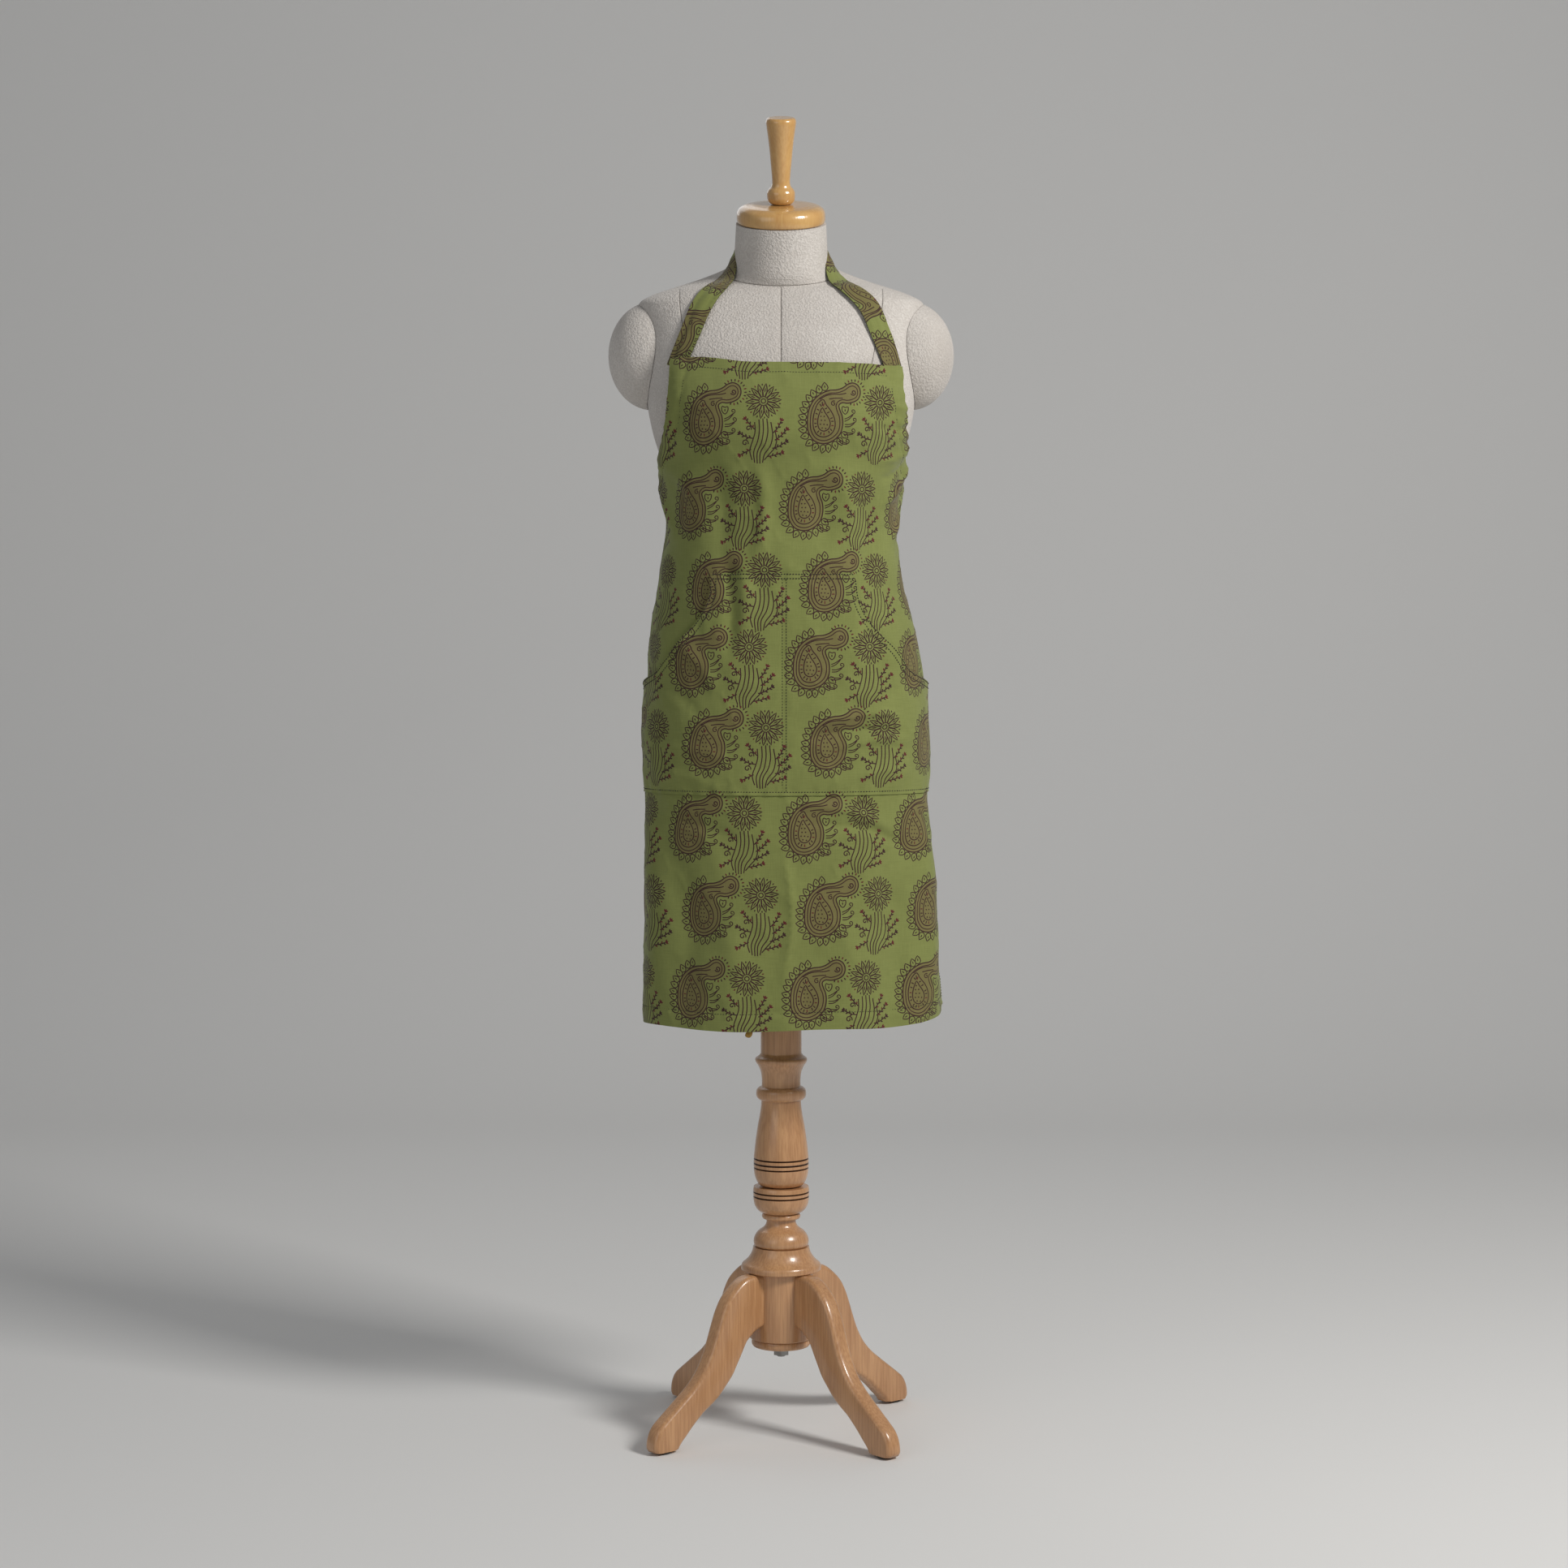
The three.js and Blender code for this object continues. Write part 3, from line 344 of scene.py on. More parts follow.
@dataclass(frozen=True)
class FeltFinish:
    """Stippled jersey over padding."""

    name: str
    base: tuple[int, int, int]
    dark: tuple[int, int, int]
    grit: float = 420.0
    relief: float = 0.55

    def build(self, effects: Effects) -> bpy.types.Material:
        """Makes the material."""
        material, n, shader = blank_material(self.name)
        place = n.add("ShaderNodeTexCoord")
        mottle = n.add("ShaderNodeGroup", node_tree=effects.mottle, Vector=place.outputs["Object"],
                       Size=8.0, Grit=self.grit)
        light, dark = colour_of(*self.base), colour_of(*self.dark)
        broad = n.mix(n.ramp(mottle.outputs["Broad"], [(0.0, 0.0), (1.0, 0.5)]), light, dark)
        fine = n.mix(n.ramp(mottle.outputs["Fine"], [(0.0, 0.32), (1.0, 0.0)]), broad, dark)
        material.node_tree.links.new(fine, shader.inputs["Base Color"])
        shader.inputs["Roughness"].default_value = 0.95
        shader.inputs["Sheen Weight"].default_value = 0.18
        shader.inputs["Sheen Roughness"].default_value = 0.6
        bump = n.add("ShaderNodeBump", Strength=self.relief, Distance=0.0012, Height=mottle.outputs["Fine"])
        material.node_tree.links.new(bump.outputs[0], shader.inputs["Normal"])
        return material


@dataclass(frozen=True)
class ClothFinish:
    """One colour of printed cotton; it reads the cloth's own flat coordinates."""

    name: str
    colour: tuple[int, int, int]
    worn: tuple[int, int, int]
    wear: float = 0.35
    relief: float = 0.3

    def build(self, effects: Effects) -> bpy.types.Material:
        """Makes the material."""
        material, n, shader = blank_material(self.name)
        flat = n.add("ShaderNodeAttribute", attribute_name="flat")
        weave = n.add("ShaderNodeGroup", node_tree=effects.weave, Vector=flat.outputs["Vector"])
        mottle = n.add("ShaderNodeGroup", node_tree=effects.mottle, Vector=flat.outputs["Vector"],
                       Size=22.0, Grit=600.0)
        tone, worn = colour_of(*self.colour), colour_of(*self.worn)
        fleck = n.add("ShaderNodeMath", operation="MULTIPLY", in0=weave.outputs["Fleck"], in1=self.wear)
        broad = n.mix(n.ramp(mottle.outputs["Broad"], [(0.0, 0.0), (1.0, self.wear * 0.8)]), tone, worn)
        material.node_tree.links.new(n.mix(fleck.outputs[0], broad, worn), shader.inputs["Base Color"])
        shader.inputs["Roughness"].default_value = 0.86
        shader.inputs["Sheen Weight"].default_value = 0.12
        shader.inputs["Sheen Roughness"].default_value = 0.5
        bump = n.add("ShaderNodeBump", Strength=self.relief, Distance=0.0004, Height=weave.outputs["Height"])
        material.node_tree.links.new(bump.outputs[0], shader.inputs["Normal"])
        return material


@dataclass(frozen=True)
class MetalFinish:
    """Metal with faint scratches and dulling."""

    name: str
    colour: tuple[int, int, int]
    roughness: float = 0.38

    def build(self, effects: Effects) -> bpy.types.Material:
        """Makes the material."""
        material, n, shader = blank_material(self.name)
        place = n.add("ShaderNodeTexCoord")
        mottle = n.add("ShaderNodeGroup", node_tree=effects.mottle, Vector=place.outputs["Object"],
                       Size=60.0, Grit=900.0)
        dull = tuple(value * 0.55 for value in colour_of(*self.colour)[:3]) + (1.0,)
        shade = n.mix(n.ramp(mottle.outputs["Broad"], [(0.0, 0.0), (1.0, 0.6)]), colour_of(*self.colour), dull)
        material.node_tree.links.new(shade, shader.inputs["Base Color"])
        shader.inputs["Metallic"].default_value = 1.0
        rough = n.ramp(mottle.outputs["Fine"], [(0.0, self.roughness - 0.08), (1.0, self.roughness + 0.12)])
        material.node_tree.links.new(rough, shader.inputs["Roughness"])
        return material


@dataclass
class Finishes:
    """Every finish of the object, made once."""

    effects: Effects = field(default_factory=Effects)

    def __post_init__(self) -> None:
        """Builds the materials."""
        make = self.effects
        self.stand_wood = WoodFinish("light_lacquered_wood", (208, 160, 114), (154, 106, 66)).build(make)
        self.groove = WoodFinish("burnt_groove", (92, 58, 36), (48, 28, 18), lacquer=0.2).build(make)
        self.pale_wood = WoodFinish("pale_lacquered_wood", (216, 176, 112), (176, 122, 62), bands=22.0,
                                    fibre=0.25, roughness=0.22, lacquer=0.9).build(make)
        self.board_wood = WoodFinish("plain_board", (196, 160, 112), (150, 112, 70), roughness=0.6,
                                     lacquer=0.0).build(make)
        self.felt = FeltFinish("stippled_jersey", (210, 204, 197), (160, 151, 142)).build(make)
        self.seam = FeltFinish("sunk_seam", (160, 153, 146), (122, 114, 107)).build(make)
        self.pad = FeltFinish("dark_felt", (74, 68, 62), (44, 40, 36), relief=0.3).build(make)
        self.ground = ClothFinish("olive_cotton", (124, 131, 68), (106, 112, 54)).build(make)
        self.line = ClothFinish("dark_ink", (48, 15, 14), (62, 28, 22), wear=0.25).build(make)
        self.tone = ClothFinish("under_print", (115, 108, 60), (101, 92, 50)).build(make)
        self.red = ClothFinish("red_ink", (88, 20, 20), (78, 34, 28), wear=0.25).build(make)
        # Sewing thread, coloured darker than the real thread so that the heavy stitch rows on the pocket also paint
        # the shadow lines along its top, mouths and foot.
        self.thread = ClothFinish("dark_thread_with_painted_shadow", (44, 40, 24), (34, 30, 20)).build(make)
        self.reverse = ClothFinish("olive_reverse", (116, 126, 68), (100, 110, 58)).build(make)
        self.steel = MetalFinish("zinc_steel", (168, 168, 166)).build(make)
        self.brass = MetalFinish("aged_brass", (178, 142, 78), roughness=0.34).build(make)

    @property
    def printed(self) -> list[bpy.types.Material]:
        """The places of a printed cloth, in the order of Ink."""
        return [self.ground, self.line, self.tone, self.red]


# ---------------------------------------------------------------- meshes
@dataclass
class Shape:
    """A mesh in the making, in millimetres."""

    points: Array
    faces: list[Sequence[int]]
    slots: Array | None = None
    normals: Array | None = None
    flat: Array | None = None

    def moved(self, matrix: Matrix) -> "Shape":
        """The same shape carried by a matrix whose offset is in millimetres."""
        turn = np.array(matrix)
        points = self.points @ turn[:3, :3].T + turn[:3, 3]
        normals = None if self.normals is None else self.normals @ turn[:3, :3].T
        return Shape(points, self.faces, self.slots, normals, self.flat)

    @staticmethod
    def together(shapes: Iterable["Shape"]) -> "Shape":
        """Several shapes as one."""
        shapes = list(shapes)
        starts = np.cumsum([0] + [len(shape.points) for shape in shapes])
        faces = [tuple(i + start for i in face) for shape, start in zip(shapes, starts) for face in shape.faces]
        slots = None
        if shapes[0].slots is not None:
            slots = np.concatenate([shape.slots for shape in shapes])
        return Shape(np.vstack([shape.points for shape in shapes]), faces, slots)


@dataclass
class Piece:
    """Where a mesh belongs in the assembly."""

    name: str
    body: Body
    slot: str
    nodes: tuple[str, ...] = ()

    def make(self, shape: Shape, materials: Sequence[bpy.types.Material], crease: float = 38.0) -> bpy.types.Object:
        """Makes the object and places it on its body.

        Args:
            shape: the mesh, in millimetres.
            materials: its materials, in the order of the shape's slots.
            crease: angle in degrees above which an edge stays sharp.

        Returns:
            The object.
        """
        mesh = bpy.data.meshes.new(self.name)
        mesh.from_pydata((shape.points * MM).tolist(), [], [list(map(int, face)) for face in shape.faces])
        for material in materials:
            mesh.materials.append(material)
        if shape.slots is not None:
            mesh.polygons.foreach_set("material_index", np.asarray(shape.slots, np.int32))
        mesh.polygons.foreach_set("use_smooth", np.ones(len(mesh.polygons), bool))
        if shape.flat is not None:
            layer = mesh.attributes.new("flat", "FLOAT_VECTOR", "POINT")
            layer.data.foreach_set("vector", (shape.flat * MM).astype(np.float32).ravel())
        if shape.normals is not None:
            mesh.normals_split_custom_set_from_vertices(shape.normals.tolist())
        else:
            mesh.set_sharp_from_angle(angle=math.radians(crease))
        mesh.update()
        thing = bpy.data.objects.new(self.name, mesh)
        bpy.context.scene.collection.objects.link(thing)
        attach(thing, self.body.value)
        if self.nodes:
            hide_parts(*self.nodes)
        LOG.info("%s: %d faces", self.name, len(mesh.polygons))
        return thing


def grid_faces(rows: int, columns: int, wrap_columns: bool = False, wrap_rows: bool = False) -> list[tuple]:
    """Four-sided faces over a grid of points stored row by row."""
    faces = []
    for i in range(rows if wrap_rows else rows - 1):
        for j in range(columns if wrap_columns else columns - 1):
            k, m = (j + 1) % columns, (i + 1) % rows
            faces.append((i * columns + j, i * columns + k, m * columns + k, m * columns + j))
    return faces


def turned(runs: Sequence[Sequence[Point]], sides: int = 96, step: float = 1.2) -> Shape:
    """A turned shape about Z.

    Args:
        runs: smooth runs of (radius, height), from bottom to top, each starting where the last
            one ended; the corner between two runs stays crisp.
        sides: points around.
        step: spacing along the runs.

    Returns:
        The shape, closed on the axis at both ends.
    """
    line = [np.array(runs[0][0], float)]
    for run in runs:
        line += list(curve_through(run, step)[1:])
    profile = np.array([[0.0, line[0][1]], *line, [0.0, line[-1][1]]])
    angles = np.arange(sides) * 2 * math.pi / sides
    rows = [np.column_stack([r * np.cos(angles), r * np.sin(angles), np.full(sides, z)]) for r, z in profile[1:-1]]
    points = np.vstack([*rows, [[0, 0, profile[0][1]]], [[0, 0, profile[-1][1]]]])
    faces = grid_faces(len(rows), sides, wrap_columns=True)
    low, high, last = len(points) - 2, len(points) - 1, (len(rows) - 1) * sides
    faces += [(low, (j + 1) % sides, j) for j in range(sides)]
    faces += [(high, last + j, last + (j + 1) % sides) for j in range(sides)]
    return Shape(points, faces)


def grooved(runs: Sequence[Sequence[Point]], grooves: Sequence[float], depth: float, half: float) -> list:
    """Cuts V grooves into straight or curved runs of a profile at given heights."""
    result = []
    for run in runs:
        line = curve_through(run, 1.2)
        cuts = [z for z in grooves if line[0][1] + half < z < line[-1][1] - half]
        current = [line[0]]
        marks = []
        for z in cuts:
            radius = [float(np.interp(at, line[:, 1], line[:, 0])) for at in (z - half, z, z + half)]
            marks.append((z, [(radius[0], z - half), (radius[1] - depth, z), (radius[2], z + half)]))
        for point in line[1:]:
            while marks and point[1] > marks[0][0]:
                cut = marks.pop(0)[1]
                current = [p for p in current if p[1] < cut[0][1]]
                result += [[*current, cut[0]], cut[:2], cut[1:]]
                current = [cut[2]]
            if point[1] > current[-1][1] + 0.2 or len(current) == 1:
                current.append(point)
        result.append(current)
    return result


# ---------------------------------------------------------------- dress form
@dataclass
class DressForm:
    """The padded torso with its arm caps, neck cap, handle and base."""

    wall: float = 6.0
    # ring number, height over the lower edge, centre y, forward tilt, half width, front, back, squareness
    rings: tuple = (
        (0, 0, 0, 0, 150, 104, 100, 2.3), (1, 45, 0, 0, 152, 107, 104, 2.3), (2, 85, 0, 0, 152, 108, 105, 2.3),
        (3, 135, 0, 0, 149, 106, 100, 2.3), (4, 180, 0, 0, 141.5, 101, 91, 2.3),
        (5, 225, 0, 0, 133, 96, 80, 2.3), (6, 275, 0, 0, 127, 93, 68, 2.3), (7, 315, 0, 0, 131, 98, 72, 2.3),
        (8, 350, 0, 0, 139, 110, 78, 2.3), (9, 385, 0, 0, 150, 124, 84, 2.3),
        (10, 420, 0, 0, 157, 121, 88, 2.3), (11, 460, 0, 0, 160, 104, 90, 2.3),
        (12, 500, 0, 0, 163, 86, 88, 2.3), (13, 530, 0, 0, 167, 72, 82, 2.3),
        (14, 541, 0, 1, 165, 66, 76, 2.3), (15, 551, 0, 3, 146, 60, 70, 2.2),
        (16, 559, -1, 8, 122, 56, 66, 2.2), (17, 567, -3, 16, 92, 54, 62, 2.1),
        (18, 575, -5, 23, 68, 54, 56, 2), (19, 587, -9, 23, 56, 56, 56, 2),
        (20, 605, -14, 20, 54, 54, 54, 2), (21, 630, -22, 17, 52.5, 52.5, 52.5, 2),
    )
    # height over the lower edge, distance of the seam from the middle
    front_seam: tuple = ((0, 88), (135, 84), (275, 70), (400, 90), (470, 106), (541, 118), (570, 118))
    back_seam: tuple = ((0, 92), (275, 64), (440, 82), (541, 100), (570, 106))
    groove_depth: float = 1.0
    neck_seam_ring: float = 18.0
    arm_centre: tuple = (152.0, 0.0, 478.0)
    arm_size: tuple = (51.0, 49.0, 63.0)
    neck_origin: tuple = (0.0, -22.0, 630.0)
    neck_tilt: float = 17.0

    def skin(self, number: Array, angle: Array, inset: Array | float = 0.0) -> Array:
        """Points of the padded skin.

        Args:
            number: ring numbers, which may be fractions.
            angle: angles, 0 at the front and a quarter turn at +X.
            inset: depth below the skin.

        Returns:
            One point per number and angle.
        """
        number, angle = np.broadcast_arrays(np.asarray(number, float), np.asarray(angle, float))
        shape = number.shape
        height, centre, tilt, width, front, back, square = smooth_rows(self.rings, number).T
        side, ahead = np.sin(angle.ravel()), np.cos(angle.ravel())
        inset = np.broadcast_to(inset, shape).ravel()
        power = 2 / square
        x = np.sign(side) * (width - inset) * np.abs(side) ** power
        depth = np.where(ahead > 0, front, back) - inset
        y = -np.sign(ahead) * depth * np.abs(ahead) ** power
        valley = np.exp(-((x / 30) ** 2) - ((height - 398) / 42) ** 2) * np.where(ahead > 0, 7.0, 0.0)
        y = y + valley
        lean = np.radians(tilt)
        points = np.column_stack([x, centre + y * np.cos(lean), FORM_BOTTOM + height + y * np.sin(lean)])
        return points.reshape(*shape, 3)

    def seam_columns(self, number: float) -> tuple[Array, Array]:
        """Angles of the mesh columns of one ring and how deep each lies in a seam.

        Args:
            number: ring number.

        Returns:
            Angles and groove shares, the same count for every ring.
        """
        angles = np.linspace(0, 2 * math.pi, 1441)
        outline = self.skin(np.full(angles.shape, number), angles)
        along = np.concatenate([[0], np.cumsum(np.linalg.norm(np.diff(outline, axis=0), axis=1))])
        height, _, _, width, *_ = smooth_rows(self.rings, np.array([number]))[0]
        quarter = along[360]
        front = smooth_rows(self.front_seam, np.array([height]))[0, 0]
        back = smooth_rows(self.back_seam, np.array([height]))[0, 0]
        front_at = np.interp(min(front, width * 0.97), outline[:361, 0], along[:361])
        back_at = 2 * quarter - np.interp(
            min(back, width * 0.97), outline[360:721, 0][::-1], (2 * quarter - along[360:721])[::-1])
        whole = along[-1]
        half = along[720]
        seams = [0, front_at, quarter, back_at, half, whole - back_at, whole - quarter, whole - front_at, whole]
        fade = 1 - ease(number, 15.6, 16.2)
        below_neck = 1 - ease(number, 17.9, 18.0)
        strength = [below_neck, fade, fade, fade, 1, fade, fade, fade]
        places, depths = [], []
        for start, end, strong in zip(seams, seams[1:], strength):
            gap = min(0.6, (end - start) / 6)
            places += [start, start + gap]
            depths += [strong, 0.25 * strong]
            places += list(np.linspace(start + 3 * gap, end - 3 * gap, 12)) + [end - gap]
            depths += [0.0] * 12 + [0.25 * strength[seams.index(end) % 8]]
        return np.interp(places, along, angles), np.array(depths)

    def torso(self) -> Shape:
        """The padded shell with its sunk seams and a lined inside."""
        fine = np.concatenate([np.arange(0, 12, 0.1), np.arange(12, 17.7, 0.1),
                               [17.7, 17.85, 17.95, 18.0, 18.05, 18.15, 18.3], np.arange(18.4, 21.01, 0.1)])
        rows, seam_rows = [], []
        for number in fine:
            angles, depth = self.seam_columns(number)
            collar = math.exp(-(((number - self.neck_seam_ring) / 0.045) ** 2))
            share = np.maximum(depth * (1 - ease(number, 17.6, 17.9) * (1 - ease(number, 18.1, 18.3))), collar)
            rows.append(self.skin(np.full(angles.shape, number), angles, share * self.groove_depth))
            seam_rows.append(share)
        columns = len(rows[0])
        inner = [self.skin(np.full(columns, number), self.seam_columns(number)[0], self.wall)
                 for number in np.arange(21, -0.1, -1.0)]
        points = np.vstack([*rows, *inner])
        faces = grid_faces(len(rows) + len(inner), columns, wrap_columns=True, wrap_rows=True)
        depth = np.concatenate([np.concatenate(seam_rows), np.zeros(len(inner) * columns)])
        slots = np.array([int(sum(depth[i] > 0.8 for i in face) > 1) for face in faces])
        return Shape(points, [face[::-1] for face in faces], slots)

    def arm_cap(self, sign: int) -> Shape:
        """One arm cap: an egg shape whose inner part is hidden in the torso's side."""
        sides, rows = 72, 48
        lat = np.linspace(0, math.pi, rows + 1)[1:-1]
        lon = np.arange(sides) * 2 * math.pi / sides
        size = self.arm_size
        ring = [np.column_stack([size[0] * np.sin(a) * np.cos(lon), size[1] * np.sin(a) * np.sin(lon),
                                 np.full(sides, -size[2] * np.cos(a))]) for a in lat]
        points = np.vstack([*ring, [[0, 0, -size[2]]], [[0, 0, size[2]]]])
        points += np.array([sign * self.arm_centre[0], self.arm_centre[1], FORM_BOTTOM + self.arm_centre[2]])
        faces = grid_faces(len(ring), sides, wrap_columns=True)
        last = (len(ring) - 1) * sides
        faces += [(len(points) - 2, (j + 1) % sides, j) for j in range(sides)]
        faces += [(len(points) - 1, last + j, last + (j + 1) % sides) for j in range(sides)]
        return Shape(points, faces)

    def trim(self, cap: bpy.types.Object, sunk: float) -> None:
        """Cuts the torso out of an arm cap, leaving a narrow sunk joint."""
        numbers, angles = np.arange(0, 21.01, 0.5), np.arange(96) * 2 * math.pi / 96
        grid = self.skin(numbers[:, None], angles[None, :], -sunk).reshape(-1, 3)
        faces = grid_faces(len(numbers), 96, wrap_columns=True)
        faces += [tuple(range(95, -1, -1)), tuple(range(len(grid) - 96, len(grid)))]
        mesh = bpy.data.meshes.new("torso_cutter")
        mesh.from_pydata((grid * MM).tolist(), [], faces)
        cutter = bpy.data.objects.new("torso_cutter", mesh)
        bpy.context.scene.collection.objects.link(cutter)
        cutting = cap.modifiers.new("cut", "BOOLEAN")
        cutting.operation, cutting.solver, cutting.object = "DIFFERENCE", "EXACT", cutter
        ready = bpy.context.evaluated_depsgraph_get()
        trimmed = bpy.data.meshes.new_from_object(cap.evaluated_get(ready))
        cap.modifiers.remove(cutting)
        old, cap.data = cap.data, trimmed
        bpy.data.meshes.remove(old)
        bpy.data.objects.remove(cutter)
        bpy.data.meshes.remove(mesh)
        trimmed.polygons.foreach_set("use_smooth", np.ones(len(trimmed.polygons), bool))
        trimmed.set_sharp_from_angle(angle=math.radians(40))

    def board(self) -> Shape:
        """The wooden board that closes the lower end, with its hole for the pole."""
        low, high = (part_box("base_board")[i][2] / MM for i in (0, 1))
        angles = np.arange(128) * 2 * math.pi / 128
        edge = self.skin(np.zeros(128), angles, self.wall + 1.0)
        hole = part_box("pole")[1][0] / MM + 0.3
        around = np.column_stack([hole * np.sin(angles), -hole * np.cos(angles)])
        rows = [np.column_stack([xy, np.full(128, z)]) for xy, z in (
            (around, low), (edge[:, :2] * 0.99, low), (edge[:, :2], low + 1.5), (edge[:, :2], high), (around, high))]
        return Shape(np.vstack(rows), grid_faces(5, 128, wrap_columns=True, wrap_rows=True))

    def build(self, finishes: Finishes) -> None:
        """Makes and dresses the form."""
        felt = [finishes.felt, finishes.seam]
        Piece("padded_torso", Body.FORM, "form_felt", ("torso_shell",)).make(self.torso(), felt, 50)
        for side, sign in (("left", -1), ("right", 1)):
            piece = Piece(f"padded_arm_cap_{side}", Body.FORM, "form_felt", (f"arm_cap_{side}",))
            self.trim(piece.make(self.arm_cap(sign), felt), 0.7)
        Piece("form_base_board", Body.FORM, "pale_wood", ("base_board",)).make(
            self.board(), [finishes.board_wood])
        lean = Matrix.Translation(Vector(self.neck_origin) + Vector((0, 0, FORM_BOTTOM)))
        lean = lean @ Matrix.Rotation(math.radians(self.neck_tilt), 4, "X")
        cap = turned([
            [(4.3, 0.3), (48.6, 0.3)], [(48.6, 0.3), (50.6, 1.2), (51.6, 4), (51.8, 8), (51.3, 12.5), (49.4, 16.6),
                                        (44.5, 19.8), (36, 21.4), (20, 22.1), (4.3, 22.3)],
        ])
        Piece("turned_neck_cap", Body.FORM, "pale_wood", ("neck_cap",)).make(cap.moved(lean), [finishes.pale_wood])
        handle = turned([
            [(11.4, 22.7), (13.8, 24.2), (16.0, 28.4), (16.35, 32.8), (15.9, 37), (14, 40.3), (12.1, 42)],
            [(12.1, 42), (10.9, 44.5), (10.45, 48), (10.7, 53), (12.2, 70), (14.0, 89), (15.9, 104), (17.2, 113),
             (17.5, 116.5), (17.0, 119.4), (15.2, 121.2), (11, 121.55), (4, 121.6)],
        ])
        Piece("turned_neck_handle", Body.FORM, "pale_wood", ("neck_handle",)).make(
            handle.moved(lean), [finishes.pale_wood])


# ---------------------------------------------------------------- cloth surfaces
class SurfaceTable:
    """A curved surface read by two flat coordinates, across and along, in millimetres."""

    def __init__(self, across: Array, along: Array, points: Array) -> None:
        """Stores the surface.

        Args:
            across: rising values of the first coordinate.
            along: rising values of the second coordinate.
            points: places, one row per along value.
        """
        self.across, self.along, self.points = across, along, points
        sideways = np.gradient(points, across, axis=1)
        forward = np.gradient(points, along, axis=0)
        normals = np.cross(sideways, forward)
        self.normals = normals / np.maximum(np.linalg.norm(normals, axis=2, keepdims=True), 1e-9)

    def place(self, a: Array, b: Array, offset: Array | float = 0.0) -> tuple[Array, Array]:
        """Points and normals at flat places, lifted off the surface by an offset."""
        x = np.clip(np.interp(a, self.across, np.arange(len(self.across))), 0, len(self.across) - 1.001)
        y = np.clip(np.interp(b, self.along, np.arange(len(self.along))), 0, len(self.along) - 1.001)
        j, i = x.astype(int), y.astype(int)
        s, t = (x - j)[:, None], (y - i)[:, None]

        def read(table: Array) -> Array:
            low = table[i, j] * (1 - s) + table[i, j + 1] * s
            high = table[i + 1, j] * (1 - s) + table[i + 1, j + 1] * s
            return low * (1 - t) + high * t

        normal = read(self.normals)
        normal /= np.maximum(np.linalg.norm(normal, axis=1, keepdims=True), 1e-9)
        lift = np.broadcast_to(offset, a.shape)[:, None]
        return read(self.points) + normal * lift, normal

    def displaced(self, depth: Array) -> "SurfaceTable":
        """The surface pushed out along its normals by a depth at every stored point."""
        return SurfaceTable(self.across, self.along, self.points + self.normals * depth[..., None])


@dataclass(frozen=True)
class Fold:
    """A fold, crease or drag line on the flat cloth: a line with a width and a depth."""

    start: tuple[float, float]
    end: tuple[float, float]
    width: float
    depth: float
    crisp: bool = False

    def lift(self, a: Array, b: Array) -> Array:
        """How far the fold lifts the cloth at flat places."""
        start, way = np.array(self.start), np.array(self.end) - np.array(self.start)
        length = float(np.linalg.norm(way))
        way = way / length
        along = (a - start[0]) * way[0] + (b - start[1]) * way[1]
        aside = (a - start[0]) * way[1] - (b - start[1]) * way[0]
        bend = aside + 0.06 * length * np.sin(math.pi * np.clip(along / length, 0, 1))
        reach = ease(along, -0.2 * length, 0.25 * length) * (1 - ease(along, 0.7 * length, 1.2 * length))
        profile = np.exp(-np.abs(bend) / self.width) if self.crisp else np.exp(-((bend / self.width) ** 2))
        return self.depth * reach * profile


def folded(folds: Iterable[Fold], a: Array, b: Array) -> Array:
    """The lift of several folds together."""
    return sum((fold.lift(a, b) for fold in folds), np.zeros(a.shape))


# ---------------------------------------------------------------- the block print
Drawing = list[tuple[Array, Ink]]


def stroke(points: Sequence[Point], width: float, ink: Ink = Ink.LINE, closed: bool = False) -> Drawing:
    """A line of even width.

    Args:
        points: the line's middle.
        width: its width.
        ink: its colour.
        closed: whether it is a loop.

    Returns:
        One outline, or two halves for a loop.
    """
    path = np.array(points, float)
    if closed:
        path = np.vstack([path, path[:1]])
        half = len(path) // 2
        return stroke_open(path[: half + 1], width, ink, path) + stroke_open(path[half:], width, ink, path)
    return stroke_open(path, width, ink, None)


def stroke_open(path: Array, width: float, ink: Ink, loop: Array | None) -> Drawing:
    """The outline of an open run of a line; a loop's runs meet squarely."""
    way = np.gradient(path, axis=0)
    if loop is not None:
        joint = loop[1] - loop[-2]
        middle = len(loop) // 2
        turn = loop[middle + 1] - loop[middle - 1]
        way[0], way[-1] = (joint, turn) if np.allclose(path[0], loop[0]) else (turn, joint)
    way /= np.maximum(np.linalg.norm(way, axis=1, keepdims=True), 1e-9)
    side = np.column_stack([-way[:, 1], way[:, 0]]) * width / 2
    return [(np.vstack([path + side, (path - side)[::-1]]), ink)]


def drop(x: float, y: float, angle: float, length: float, width: float, ink: Ink = Ink.LINE) -> Drawing:
    """A filled drop that points along an angle in degrees, from its base at (x, y)."""
    shape = np.array([(0, 0), (0.3, 0.42), (0.65, 0.45), (1, 0), (0.65, -0.45), (0.3, -0.42)])
    shape = shape * (length, width)
    c, s = math.cos(math.radians(angle)), math.sin(math.radians(angle))
    return [(np.column_stack([x + shape[:, 0] * c - shape[:, 1] * s, y + shape[:, 0] * s + shape[:, 1] * c]), ink)]


